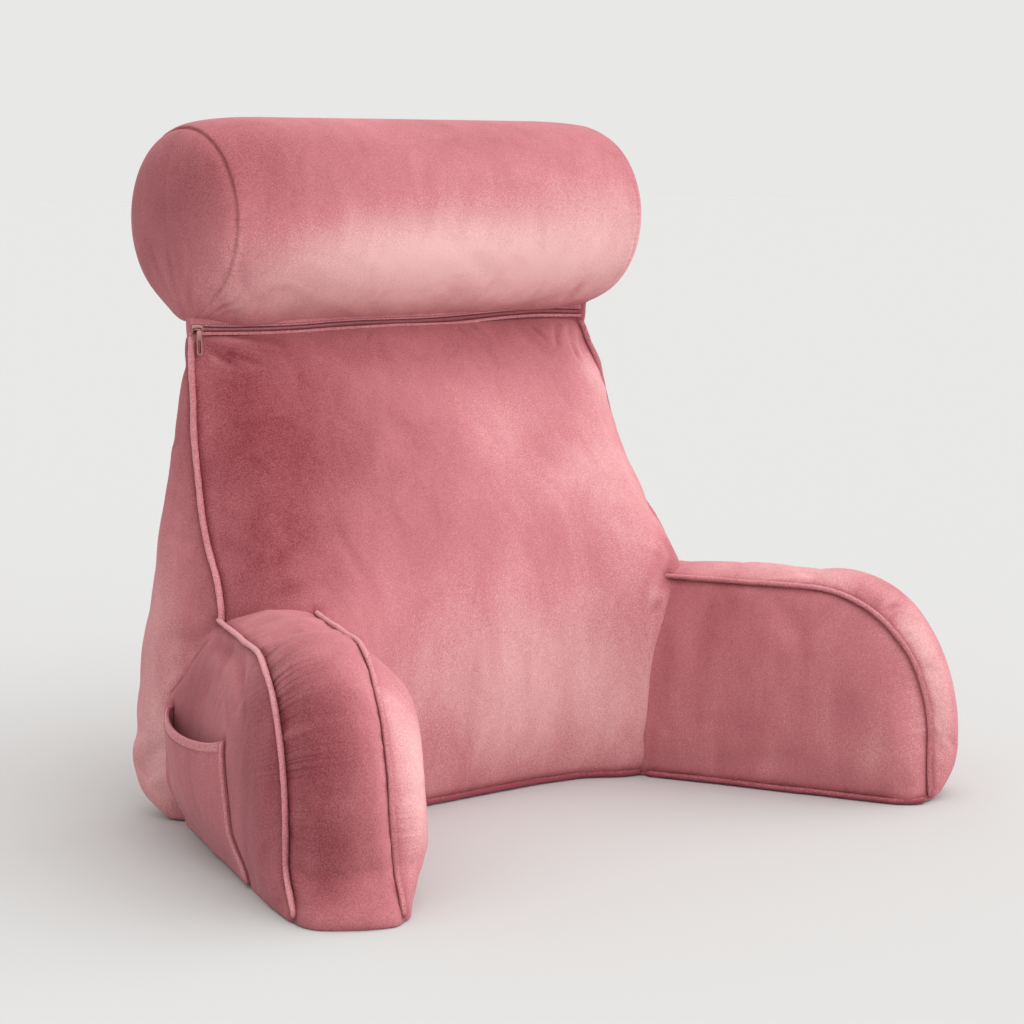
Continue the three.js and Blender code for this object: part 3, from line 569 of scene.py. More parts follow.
# %% Roll surface
ROLL_Y, ROLL_Z, ROLL_RADIUS, ROLL_SEAM_X, ROLL_SWELL = 48, 526, 88.5, 228, 25
ROLL_DRAW = {"left": 0.876, "right": 0.93}
ROLL_SIDES = 132
ROLL_SAG = dict(mm=6, x=-178, spread=30)


def roll_ring(x, radius):
    """Circle of that radius at x, plus a bell towards the zip and a second bell that sags at the left."""
    angle = np.linspace(0, 2 * np.pi, ROLL_SIDES, endpoint=False)[None]
    under = np.arctan2(np.sin(angle), np.cos(angle))
    x, radius = x[:, None], radius[:, None]
    drawn = np.clip(radius / ROLL_RADIUS, 0, 1) ** 3
    sag = ROLL_SAG["mm"] * bell(x - ROLL_SAG["x"], ROLL_SAG["spread"]) * bell(under - 0.33, 0.3)
    reach = radius + 4 * drawn * bell(under, 0.24) + sag * drawn
    return np.stack([x + 0 * angle, ROLL_Y - reach * np.sin(angle), ROLL_Z - reach * np.cos(angle)], -1)


def roll_stations():
    """Places along the roll with their radii: dome, seam, tube, seam, dome."""
    body = ROLL_SEAM_X * np.sin(np.linspace(-np.pi / 2, np.pi / 2, 77) * 0.98)
    body *= ROLL_SEAM_X / body[-1]
    draw = np.where(body < 0, ROLL_DRAW["left"], ROLL_DRAW["right"])
    radius = ROLL_RADIUS * mix(draw, 1, puffed((ROLL_SEAM_X - np.abs(body)) / 74))
    turn = np.linspace(0.0, 1, 17)[1:] * np.pi / 2
    out, narrow = np.sin(turn), np.cos(turn) ** 0.8
    narrow[-1] = 0.03
    left = ROLL_RADIUS * ROLL_DRAW["left"] * narrow
    right = ROLL_RADIUS * ROLL_DRAW["right"] * narrow
    return (np.concatenate([-ROLL_SEAM_X - ROLL_SWELL * out[::-1], body, ROLL_SEAM_X + ROLL_SWELL * out]),
            np.concatenate([left[::-1], radius, right]))


station_x, station_radius = roll_stations()
roll_grid = roll_ring(station_x, station_radius)
roll_along = np.broadcast_to(station_x[:, None], roll_grid.shape[:2])
roll_angle = np.broadcast_to(np.linspace(0, 2 * np.pi, ROLL_SIDES, endpoint=False)[None], roll_grid.shape[:2])
roll = closed_body("neck_roll_cover", placed(roll_grid), attributes={
    "along": roll_along.copy(), "ring": np.cos(roll_angle), "ring_side": np.sin(roll_angle)})
print("roll cover", len(roll.data.polygons), "faces,", open_edges(roll), "open edges")

# %% [markdown]
# ## Cords in the seams
# Each arm seam, the front edges of the backrest and the lower seams carry a covered cord. A cord sewn in by
# hand is never quite even, so its line wanders by a fraction of a millimetre and its cloth swells between
# the stitches.

# %% Piping
CORD_SIDES = 12
PIPING_RADIUS, ARM_PIPING_RADIUS, BASE_PIPING_RADIUS, BASE_PIPING_HEIGHT = 2.8, 2.4, 2.6, 3.3
LAST_TURN = 0.84
CORD_LINES = []


def piping(name, path, radius, seed, wander=0.45):
    """Tube along the path in mm; line and radius wander by smooth random lines; its ends are rounded off."""
    path, at = evenly(path, 2.4)
    drift = np.column_stack([wandering(at[-1], 26, seed + k)(at) for k in range(3)]) * wander
    low = path[:, 2:3] < 12
    path = path + np.where(low, drift * [1, 1, 0.4], drift)
    CORD_LINES.append(placed(path))
    swell = 1 + 0.07 * wandering(at[-1], 5, seed + 5)(at) + 0.05 * wandering(at[-1], 17, seed + 6)(at)
    rounding = np.sqrt(np.clip(np.minimum(at + 0.3, at[-1] - at + 0.3) / radius, 0, 1))
    grid = tube_grid(path, radius * swell * rounding, CORD_SIDES)
    grid[..., 2] = np.maximum(grid[..., 2], 0.2)
    piece = closed_body(name + "_cord", placed(grid))
    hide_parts(name)
    return piece


pipings = []
turns = np.linspace(0.012, LAST_TURN, 160)
for number, (name, arm) in enumerate(ARMS.items()):
    for side, across in (("outer", 1), ("inner", -1)):
        route = seam_route(arm, across, turns)
        seed = 20 + 10 * number + across
        pipings.append(piping(f"piping_arm_{name}_{side}", route, ARM_PIPING_RADIUS, seed))
    low = panel_place(arm, np.linspace(arm["base_from"], 262, 60), BASE_PIPING_HEIGHT, -1, 1.0)
    pipings.append(piping(f"base_piping_arm_{name}", low, BASE_PIPING_RADIUS, 60 + 10 * number, 0.8))
for sign, name in ((-1, "left"), (1, "right")):
    level = level_at(np.linspace(186, 427, 90))
    route = drawn_neck(np.stack([sign * (level[:, 5] + 0.6), level[:, 6] - 1, level[:, 0]], -1))
    route[:, :2] -= (sign > 0) * 4.4 * edge_window(route[:, 2])[:, None] * RIGHT_FORWARD
    pipings.append(piping(f"piping_back_{name}", route, PIPING_RADIUS, 90 + sign))
front_low = section_points(level_at(BASE_PIPING_HEIGHT))[0][:sum(FRONT_COUNTS)]
front_low = front_low[np.abs(front_low[:, 0]) < 182] - [0, 1, 0]
pipings.append(piping("base_piping_back", front_low, BASE_PIPING_RADIUS, 100, 0.8))
print(len(pipings), "cords, open edges", sum(open_edges(p) for p in pipings))

# %% [markdown]
# ## The zip
# A long nylon coil zip joins the roll to the backrest. Its two tapes are sewn under a stitched flap above
# and a folded lip below. The coil is one wire wound in a helix, which is how such a zip is made, with the
# pull at its left.

# %% Zip strips and coil
ZIP_LINE = np.array([[-233, 432], [-190, 430], [-131, 429], [-52, 430.5], [45, 430], [159, 434],
                     [222, 431.5]], float)
ZIP_Y = 36.5
SLIDER_AT = 0.011
zip_points = np.column_stack([ZIP_LINE[:, 0], np.full(len(ZIP_LINE), ZIP_Y), ZIP_LINE[:, 1]])
zip_path = np.vstack([curve_through(zip_points, [24] * 6), zip_points[-1]])
zip_path, zip_run = evenly(zip_path, 2.0)


def strip(name, low, high, front, thick, wave=0.0, seed=0, edge=0.7):
    """Flat band along the zip: a rounded oblong carried along its line, waving slightly up and down."""
    turn = np.linspace(0, 2 * np.pi, 20, endpoint=False)
    half_y, half_z = thick / 2, (high - low) / 2
    round_y = np.sign(np.cos(turn)) * np.abs(np.cos(turn)) ** edge * half_y
    round_z = np.sign(np.sin(turn)) * np.abs(np.sin(turn)) ** (edge * 0.5) * half_z
    lift = wave * wandering(zip_run[-1], 38, seed)(zip_run)
    bulge = wave * 0.5 * wandering(zip_run[-1], 23, seed + 1)(zip_run)
    grid = np.stack([zip_path[:, :1] + 0 * turn,
                     zip_path[:, 1:2] + front + half_y + round_y + bulge[:, None],
                     zip_path[:, 2:] + (low + high) / 2 + round_z + lift[:, None]], -1)
    piece = closed_body(name + "_strip", placed(grid))
    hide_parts(name)
    return piece


flap = strip("zip_flap", 2.3, 9.5, -2.2, 2.4, 0.35, 110)
lip = strip("zip_lip", -5.2, -2.3, -1.8, 3.0, 0.5, 113)
tape_upper = strip("zip_tape_upper", 0.25, 12, 2.3, 1.2)
tape_lower = strip("zip_tape_lower", -12, -0.25, 2.3, 1.2)

COIL_PITCH, COIL_RADIUS, COIL_WIRE = 1.7, 1.35, 0.42
turns_of_coil = int((zip_run[-1] - 12) / COIL_PITCH)
coil_at = np.linspace(9, zip_run[-1] - 2, turns_of_coil * 10)
coil_middle = np.column_stack([np.interp(coil_at, zip_run, zip_path[:, k]) for k in range(3)])
wind = 2 * np.pi * coil_at / COIL_PITCH
coil_round = np.column_stack([0 * wind, COIL_RADIUS * 0.8 * np.cos(wind), COIL_RADIUS * np.sin(wind)])
coil_path = coil_middle + coil_round
coil = closed_body("zip_coil_wire", placed(tube_grid(coil_path, COIL_WIRE, 5)))
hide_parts("zip_coil")
print("coil turns", turns_of_coil, "faces", len(coil.data.polygons))

# %% [markdown]
# Past both ends of the zip the cover is one cloth, so a short neck of velvet joins the roll to the backrest
# there.

# %% Neck ends
def neck_end(name, x, y, low, high, half_x, half_y):
    """Upright tube that widens upwards: half widths times 1 + 0.3 u |u|, u from -1 at the foot to 1 above."""
    up = np.linspace(-1, 1, 25)[:, None]
    turn = np.linspace(0, 2 * np.pi, 40, endpoint=False)[None]
    flare = 1 + 0.3 * up * np.abs(up)
    grid = np.stack([x + half_x * flare * np.cos(turn), y + half_y * flare * np.sin(turn),
                     mix(low, high, (up + 1) / 2) + 0 * turn], -1)
    return closed_body(name, placed(grid))


neck_ends = [neck_end("neck_end_left", x=-230, y=40, low=420, high=450, half_x=3.6, half_y=6),
             neck_end("neck_end_right", x=221, y=48, low=416, high=450, half_x=6.5, half_y=15)]
print("neck ends, open edges", [open_edges(piece) for piece in neck_ends])

# %% [markdown]
# The slider is die-cast: a plate with a wedge nose and a bridge that holds the pull. Both are drawn as
# outlines, given a thickness, and their edges are rounded by a bevel, as tumbling rounds the real castings.

# %% Slider and pull
slider_point = np.array([np.interp(SLIDER_AT * zip_run[-1], zip_run, zip_path[:, k]) for k in range(3)])
SLIDER_Y = ZIP_Y - 1.7 - 0.35


def rounded_plate(outline_2d, hole_2d, depth):
    """Outline in x and z extruded along y by depth, with a hole bridged to it where one is given."""
    outer = np.asarray(outline_2d, float)
    n = len(outer)
    front = np.column_stack([outer[:, 0], np.zeros(n), outer[:, 1]])
    if hole_2d is None:
        points = np.vstack([front, front + [0, depth, 0]])
        k = np.arange(n)
        sides = np.column_stack([k, (k + 1) % n, (k + 1) % n + n, k + n]).tolist()
        return points, [list(range(n))[::-1], list(range(n, 2 * n))] + sides
    inner = np.asarray(hole_2d, float)
    inside = np.column_stack([inner[:, 0], np.zeros(n), inner[:, 1]])
    points = np.vstack([front, inside, front + [0, depth, 0], inside + [0, depth, 0]])
    k = np.arange(n)
    j = (k + 1) % n
    rims = ((0, 1), (2, 3), (0, 2), (1, 3))
    quads = [np.column_stack([k + a * n, j + a * n, j + b * n, k + b * n]) for a, b in rims]
    return points, np.vstack(quads).tolist()


def bevelled(piece, width, segments=3):
    """Rounds the piece's edges by a width in mm and makes that its own mesh."""
    bevel = piece.modifiers.new("edges", "BEVEL")
    bevel.width, bevel.segments, bevel.limit_method = width * MM, segments, "ANGLE"
    mesh = bpy.data.meshes.new_from_object(piece.evaluated_get(bpy.context.evaluated_depsgraph_get()))
    piece.modifiers.remove(bevel)
    piece.data = mesh
    return turned_outwards(piece)


half_plate = np.array([(-6, -4.2), (0.5, -4.2), (3.4, -3.7), (6, -2.4)])
plate = np.vstack([half_plate, half_plate[::-1] * [1, -1]])
points, faces = rounded_plate(plate, None, -1.4)
slider = piece_from("zip_slider_plate", placed(points + [slider_point[0], SLIDER_Y, slider_point[2]]), faces)
turned_outwards(slider)
bevelled(slider, 0.45)
bridge_line = np.array([(-3.7, -0.9, 0), (-3.3, -3.0, 0), (-1.6, -4.0, 0), (0.8, -4.0, 0), (2.2, -3.0, 0),
                        (2.8, -0.9, 0)])
bridge_path = curve_through(bridge_line, [5] * 5)
bridge = closed_body("zip_slider_bridge", placed(
    tube_grid(bridge_path + [slider_point[0], SLIDER_Y, slider_point[2]], 0.85, 10, 1.5)))

angles = np.linspace(np.pi / 2, -3 * np.pi / 2, 40, endpoint=False)
PULL_LENGTH, PULL_HALF, PULL_THICK, SLOT_HALF = 23.0, 3.0, 1.5, 1.45
drop = np.where(np.sin(angles) > 0, 0.0, -(PULL_LENGTH - 2 * PULL_HALF))
narrow = np.where(np.sin(angles) > 0, 0.8, 1.0)
pull_outer = np.column_stack([PULL_HALF * narrow * np.cos(angles),
                              drop + PULL_HALF * narrow * np.sin(angles)])
slot_drop = np.where(np.sin(angles) > 0, -PULL_LENGTH * 0.36, -(PULL_LENGTH - 2 * PULL_HALF))
pull_inner = np.column_stack([SLOT_HALF * np.cos(angles), slot_drop + SLOT_HALF * np.sin(angles)])
points, faces = rounded_plate(pull_outer, pull_inner, PULL_THICK)
tilt = np.array([points[:, 0], points[:, 1] + 0.02 * points[:, 2], points[:, 2]]).T
pull_at = [slider_point[0] - 1, SLIDER_Y - 4.2 + 0.2 - PULL_THICK, slider_point[2] - 3]
pull = piece_from("zip_pull_tab", placed(tilt + pull_at), faces)
turned_outwards(pull)
bevelled(pull, 0.35)
for piece, node in ((slider, "zip_slider"), (pull, "zip_pull")):
    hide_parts(node)
print("slider and pull open edges", open_edges(slider), open_edges(bridge), open_edges(pull))

# %% [markdown]
# ## The side pocket
# A patch of the same velvet is sewn to the outer panel of the left arm along its sides and foot. Its mouth
# is turned over in a hem with a row of stitches, and it stands off the arm because hands have stretched it.

# %% Pocket sheet, hem and folded sides
POCKET = dict(back_front=140, back_rear=314, foot_front=112, foot_rear=300, top=112, top_rear=111, foot=4)
POCKET_THICK, POCKET_BELLY, HEM_HEIGHT, SEAM_GAP, POCKET_SINK, MOUTH_DIP = 2.2, 17.0, 9.0, 0.4, 3.0, 7.0


def pocket_belly(across, up_share):
    """Stand-off of the mouth: a half sine across times a smooth rise, to the power 0.8."""
    return POCKET_BELLY * (np.sin(np.pi * np.clip(across, 0, 1)) * eased(up_share * 1.15)) ** 0.8


def pocket_place(across, up_share, off):
    """Point over the outer panel of the left arm, between the pocket's slanting sides."""
    front = mix(POCKET["foot_front"], POCKET["back_front"], eased(up_share))
    rear = mix(POCKET["foot_rear"], POCKET["back_rear"], up_share)
    dip = MOUTH_DIP * np.sin(np.pi * np.clip(across, 0, 1) ** 0.6)
    top = mix(POCKET["top"], POCKET["top_rear"], across) - dip
    return panel_place(ARMS["left"], mix(front, rear, across), mix(POCKET["foot"], top, up_share), 1, off)


def pocket_folds(across, up_share):
    """Soft upright folds in mm: bells across the pocket, two ridges and a shorter dent, fading at the hem."""
    long = 1.5 * bell(across - 0.46 - 0.10 * (1 - up_share), 0.055) * eased((0.93 - up_share) / 0.35)
    short = 0.9 * bell(across - 0.30, 0.04) * eased((0.9 - up_share) / 0.3) * eased(up_share / 0.5)
    third = 0.8 * bell(across - 0.66 + 0.08 * up_share, 0.05) * eased((0.88 - up_share) / 0.4)
    return (long + third - short) * np.sin(np.pi * across) ** 0.5


def sheet_grid(across, up_share, low, high):
    """Closed ring for each row: the outer face from front to rear, then the inner face back."""
    outer, inner = (pocket_place(across, up_share, off) for off in (high, low))
    return np.concatenate([outer, inner[:, ::-1]], axis=1)


across = np.linspace(0, 1, 72)[None]
up_share = np.linspace(0, 1, 52)[:, None]
belly = pocket_belly(across, up_share) + pocket_folds(across, up_share)
face = belly + SEAM_GAP + POCKET_THICK
sunk = POCKET_SINK * np.maximum(0, 1 - pocket_belly(across, up_share) / POCKET_SINK)
pocket_rows = sheet_grid(across, up_share, face - POCKET_THICK - sunk, face)
pocket = closed_body("pocket_cloth", placed(shut(pocket_rows, 1, 1)), fans=False, merge=1e-6)
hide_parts("pocket")

hem_up = np.linspace(1 - HEM_HEIGHT / POCKET["top"], 1.004, 14)[:, None]
hem_across = np.linspace(0.012, 0.988, 72)[None]
rounded = np.sqrt(np.clip(1 - (2 * (hem_up - hem_up[0]) / (hem_up[-1] - hem_up[0]) - 1) ** 6, 0, 1))
hem_face = pocket_belly(hem_across, hem_up) + pocket_folds(hem_across, hem_up) + SEAM_GAP + POCKET_THICK
hem_rows = sheet_grid(hem_across, hem_up, hem_face - 0.6, hem_face + 1.0 * rounded)
hem = closed_body("pocket_hem", placed(shut(hem_rows, 1, 1)), fans=False, merge=1e-6)
print("pocket open edges", open_edges(pocket), open_edges(hem))


def pocket_side(name, at, radius, seed):
    """Folded edge beside the pocket: a flattened tube along one side of the sheet."""
    up = np.linspace(0.0, 0.995, 90)
    line, run = evenly(pocket_place(np.full(90, at), up, SEAM_GAP + POCKET_THICK * 0.7), 2.2)
    wave = 0.4 * wandering(run[-1], 21, seed)(run)[:, None] * [0.3, 1, 0.3]
    swell = radius * (1 + 0.10 * wandering(run[-1], 6, seed + 1)(run))
    CORD_LINES.append(placed(line + wave))
    grid = tube_grid(line + wave, swell, 10, 0.85)
    grid[..., 2] = np.maximum(grid[..., 2], 0.4)
    return closed_body(name, placed(grid))


pocket_sides = [pocket_side("pocket_fold_front", 0.006, 2.3, 130),
                pocket_side("pocket_fold_rear", 0.994, 1.7, 133)]

# %% [markdown]
# ## Stitches
# Two rows show on the outside: one along the hem of the pocket and one along the zip's flap. A stitch is a
# short rounded bar of thread, half sunk in the pile, and each row is one piece made of many copies of it.

# %% Rows of stitches
def stitch_row(name, line, outward, length=2.3, gap=0.9, thick=0.42):
    """Bars of thread along a line: a six-sided spindle for each stitch, all worked out as one array."""
    line, run = evenly(line, 0.5)
    middles = np.arange(length, run[-1] - length, length + gap)
    at = np.column_stack([np.interp(middles, run, line[:, k]) for k in range(3)])
    ahead = np.column_stack([np.interp(middles + 0.5, run, line[:, k]) for k in range(3)]) - at
    ahead /= np.linalg.norm(ahead, axis=1, keepdims=True)
    out = np.broadcast_to(np.asarray(outward, float), at.shape)
    out = out - ahead * (out * ahead).sum(1, keepdims=True)
    out /= np.linalg.norm(out, axis=1, keepdims=True)
    side = np.cross(ahead, out)
    share = np.linspace(-1, 1, 5)
    fat = thick * np.sqrt(np.clip(1 - share ** 2 * 0.92, 0, 1))
    turn = np.linspace(0, 2 * np.pi, 6, endpoint=False)
    rings = (at[:, None, None] + ahead[:, None, None] * (share * length / 2)[None, :, None, None]
             + fat[None, :, None, None] * (out[:, None, None] * np.cos(turn)[None, None, :, None]
                                           + side[:, None, None] * np.sin(turn)[None, None, :, None]))
    one = grid_faces(5, 6)
    tips = [[0, 1, 2, 3, 4, 5], [29, 28, 27, 26, 25, 24]]
    count = len(middles)
    quads = (one[None] + 30 * np.arange(count)[:, None, None]).reshape(-1, 4).tolist()
    ends = (np.array(tips)[None] + 30 * np.arange(count)[:, None, None]).reshape(-1, 6).tolist()
    piece = piece_from(name, placed(rings), quads + ends)
    print(name, count, "stitches")
    return turned_outwards(piece)


row_across = np.linspace(0.03, 0.97, 120)
row_up = np.full(120, 1 - 0.85 * HEM_HEIGHT / POCKET["top"])
hem_line = pocket_place(row_across, row_up, 0)
hem_stand = pocket_belly(row_across, row_up) + pocket_folds(row_across, row_up)
outer_way = arm_place(ARMS["left"], 0.0, 1.0, 0.0) - arm_place(ARMS["left"], 0.0, 0.0, 0.0)
hem_line = hem_line + outer_way * (hem_stand + SEAM_GAP + POCKET_THICK + 1.0)[:, None]
hem_stitches = stitch_row("pocket_hem_stitches", hem_line, outer_way)
flap_line = zip_path + [0, -2.25, 4.1]
flap_stitches = stitch_row("zip_flap_stitches", flap_line[4:-2], (0, -1, 0), 2.0, 0.9, 0.36)

# %% [markdown]
# ## Filling the backrest, the arms and the roll
# Now the four covers are filled. The pinned points are the seams, the flat base and whatever is hidden in a
# neighbour. How much looser a sheet is than its seams sets how deep it puckers.

# %% Fill the four covers
def pin_backrest():
    """Seam columns, base and top rows are held, and the points hidden inside the arms."""
    place, _ = read_points(backrest)
    seam = read_value(backrest, "seam")
    hidden = (np.abs(place[:, 0]) > 0.235) & (place[:, 1] < 0.10) & (place[:, 2] < 0.17)
    return np.maximum.reduce([seam, place[:, 2] < 0.004, place[:, 2] > 0.418, hidden.astype(float)])


def pin_arm(cover):
    """Both seams, the base and the root that is hidden in the backrest are held."""
    offset, back = read_value(cover, "offset"), read_value(cover, "back")
    place, _ = read_points(cover)
    seams = np.minimum(np.abs(offset), np.abs(offset - 1)) < 0.004
    root = eased((back - np.where(offset < 0.5, 330, 235)) / 30)
    under_pocket = eased((back - 88) / 20) * eased((335 - back) / 20) * eased((0.135 - place[:, 2]) / 0.02)
    held = under_pocket * (offset < 0) * (cover == arm_covers["left"])
    return np.maximum.reduce([seams.astype(float), (place[:, 2] < 0.003).astype(float), root, held])


def pin_roll():
    """The two end seams and a narrow band above the zip are held."""
    along, under = read_value(roll, "along"), read_value(roll, "ring")
    seam = np.minimum(np.abs(along - ROLL_SEAM_X), np.abs(along + ROLL_SEAM_X)) < 0.6
    return np.maximum(seam, (under > 0.985) & (np.abs(along) < 228)).astype(float)


LOOSER, PRESSURE = 0.010, 1.2  # the share by which a sheet is larger than its place, and the air pressure
BACK_TRAVEL, ARM_TRAVEL, ROLL_TRAVEL = 0.004, 0.0026, 0.003  # how far a point may move, in metres
filled(backrest, pin_backrest(), LOOSER, PRESSURE, BACK_TRAVEL)
for cover in arm_covers.values():
    filled(cover, pin_arm(cover), LOOSER, PRESSURE, ARM_TRAVEL)
filled(roll, pin_roll(), LOOSER, PRESSURE, ROLL_TRAVEL)
for cover in (backrest, roll, *arm_covers.values()):
    subdivided(cover)
    print(cover.name, len(cover.data.polygons), "faces after the finer step")

# %% [markdown]
# ## Puckers and creases
# Some folds are finer than the simulated sheet, or lie where a person tugged the cover. Broad puckers and
# creases are pressed into the mesh after the filling. The finest gathers beside a seam are narrower than a
# face, so the cloth only stores how far along the seam a point is and how strongly it is gathered there,
# and the velvet raises them.

# %% Puckers along the arm seams
def along_seam(arm, across):
    """Turns along a seam and the seam's length in mm up to each of them."""
    turn = np.linspace(0, 1, 400)
    line = seam_route(arm, across, turn)
    return turn, np.concatenate([[0], np.cumsum(np.linalg.norm(np.diff(line, axis=0), axis=1))])


def puckers(run, off, strength, gap, reach, seed):
    """Ripples: a random line along the seam, raised to sharp valleys, times exp(-distance / reach)."""
    line = wandering(run.max() + gap, gap, seed)(run)
    spread = reach * (1 + 0.45 * wandering(run.max() + 60, 17, seed + 1)(run))
    return strength * (np.abs(line) ** 1.4 * np.sign(line)) * np.exp(-off / spread) * eased(off / 2.5)


FAR_MM = 99.0


def beside_cords(place):
    """Distance in mm from each place to the nearest cord line, or FAR_MM where all of them are far."""
    nearest = np.full(len(place), FAR_MM)
    for line in CORD_LINES:
        near = np.flatnonzero(((place > line.min(0) - 0.014) & (place < line.max(0) + 0.014)).all(1))
        for part in np.array_split(near, max(1, len(near) // 4000)):
            gap = np.linalg.norm(place[part][:, None] - line[None], axis=2).min(1) / MM
            nearest[part] = np.minimum(nearest[part], gap)
    return nearest


def drawn_in(place, normal, name):
    """A cord's stitches pull the cloth down beside it: depth times a bell of the distance from the cord."""
    CORD_GAP[name] = beside_cords(place)
    return place - normal * (CORD_GROOVE[0] * MM * bell(CORD_GAP[name], CORD_GROOVE[1]))[:, None]


def store(piece, key, values):
    """Writes one number for each point of a piece under a name."""
    kind = "FLOAT" if values.ndim == 1 else "FLOAT_VECTOR"
    slot = "value" if values.ndim == 1 else "vector"
    data = piece.data.attributes.get(key) or piece.data.attributes.new(key, kind, "POINT")
    data.data.foreach_set(slot, values.astype(np.float32).ravel())


# arm, seam, side of it, turn from, turn to, depth mm, gap mm, reach mm, strength of the finest gathers
PUCKERS = [
    ("left", 0, "band", 0.24, 0.62, 1.50, 6.0, 24, 1.0),
    ("left", 0, "band", 0.02, 0.26, 0.60, 9.0, 24, 0.3),
    ("left", 1, "band", 0.06, 0.58, 0.50, 7.0, 10, 0.12),
    ("left", 0, "panel", 0.22, 0.60, 0.80, 13.0, 30, 0.3),
    ("left", 1, "panel", 0.06, 0.60, 0.50, 8.0, 12, 0.12),
    ("right", 0, "band", 0.12, 0.60, 0.70, 8.0, 15, 0.15),
    ("right", 1, "band", 0.16, 0.58, 1.10, 9.0, 22, 0.16),
    ("right", 1, "panel", 0.06, 0.60, 0.50, 9.0, 11, 0.25),
    ("right", 0, "panel", 0.20, 0.60, 0.55, 9.0, 16, 0.3),
]
BAND_WIDTH = 104  # mm over the crown, from seam to seam
# lines from a to b in mm with a depth and a width; a negative depth is a ridge
CREASES = {
    "arm_left": [(-352, -181, 92, -326, -221, 90, 1.3, 2.6), (-354, -180, 64, -322, -226, 64, 1.0, 2.2),
                 (-354, -182, 44, -330, -219, 41, 1.2, 2.4), (-353, -181, 78, -338, -208, 77, 0.8, 1.8),
                 (-272, 50, 172, -304, -30, 176, 1.6, 7.0), (-304, -28, 178, -338, -92, 138, 1.4, 6.0),
                 (-319, -22, 150, -330, -50, 122, 0.9, 4.0), (-270, 66, 176, -274, 105, 137, 2.2, 3.4),
                 (-274, 105, 137, -272, 131, 111, 2.2, 3.4), (-272, 131, 111, -274, 142, 92, 2.2, 3.4),
                 (-274, 142, 92, -273, 150, 30, 2.2, 3.4)],
    "arm_right": [(285, -192, 170, 302, -200, 178, 1.4, 2.4), (287, -209, 146, 306, -216, 152, 1.2, 2.2),
                  (286, -223, 112, 306, -230, 114, 1.0, 2.2), (188, -40, 60, 214, -90, 66, 0.4, 6.0),
                  (196, -55, 24, 240, -150, 34, 0.5, 8.0), (200, -70, 150, 214, -96, 92, 0.4, 7.0)],
}
# where a corner's cloth stands out: x, y, z and size in mm, then how far it moves
CORNER_FLARES = {"arm_left": [(-359, -206, 2, 20, 7.0), (-304, -244, 2, 16, 5.0)],
                 "arm_right": [(276, -236, 2, 15, 4.0)]}
CORNER_LIFTS = {"arm_right": [(342, -226, 0, 26, (-6, 5, 9))], "arm_left": []}
LEFT_FORWARD = np.array([-0.643, -0.766, 0.0])  # level direction to the left and forwards
FOLDED = {}
CORD_GAP = {}
CORD_GROOVE = (1.4, 5.0)  # depth and width in mm
for name, cover in arm_covers.items():
    arm = ARMS[name]
    place, normal = read_points(cover)
    offset, turn = read_value(cover, "offset"), np.clip(read_value(cover, "turn"), 0, 1)
    rise, run_kept, gathered = np.zeros(len(place)), np.zeros(len(place)), np.zeros(len(place))
    for number, (which, seam, side, low, high, depth, gap, reach, fine) in enumerate(PUCKERS):
        if which != name:
            continue
        turns_here, length = along_seam(arm, 1 - 2 * seam)
        run = np.interp(turn, turns_here, length)
        if side == "band":
            off = np.abs(offset - seam) * BAND_WIDTH
            here = (offset >= 0) & (offset <= 1)
        else:
            rim_back, rim_up, _, _ = outline(turn, PLAIN_ARM, 0.0)
            rib = np.hypot(ARM_LENGTH - rim_back, rim_up)
            off = np.where(seam == 0, -offset, offset - 1) * rib
            here = (offset <= 0) if seam == 0 else (offset >= 1)
        off = np.maximum(off, 0)
        window = eased((turn - low) / 0.06) * eased((high - turn) / 0.06) * here
        rise += window * puckers(run, off, depth, gap, reach, 200 + 3 * number)
        uneven = 0.65 + 0.35 * wandering(900, 23, 300 + number)(run)
        strength = fine * window * np.exp(-(off / reach) ** 1.5) * uneven
        run_kept = np.where((offset < 0.5) == (seam == 0), run, run_kept)
        gathered = np.maximum(gathered, strength)
    creased = pressed(place, normal, CREASES["arm_" + name])
    FOLDED[cover.name] = rise + (creased * normal).sum(1) / MM
    place = place + normal * (rise * MM)[:, None] + creased
    for x, y, z, size, push in CORNER_FLARES["arm_" + name]:
        near = np.exp(-(((place / MM - [x, y, z]) / [size, size, size * 0.8]) ** 2).sum(1))
        place = place + (push * near * MM)[:, None] * LEFT_FORWARD
    for x, y, z, size, push in CORNER_LIFTS["arm_" + name]:
        near = np.exp(-((place / MM - [x, y, z]) ** 2).sum(1) / size ** 2)
        place = place + near[:, None] * np.array(push) * MM
    place = drawn_in(place, normal, cover.name)
    place[:, 2] = np.maximum(place[:, 2], 0)
    write_points(cover, place)
    store(cover, "gather", np.column_stack([run_kept, gathered, 0 * gathered]))
    print(cover.name, f"puckers up to {np.abs(rise).max():.2f} mm")

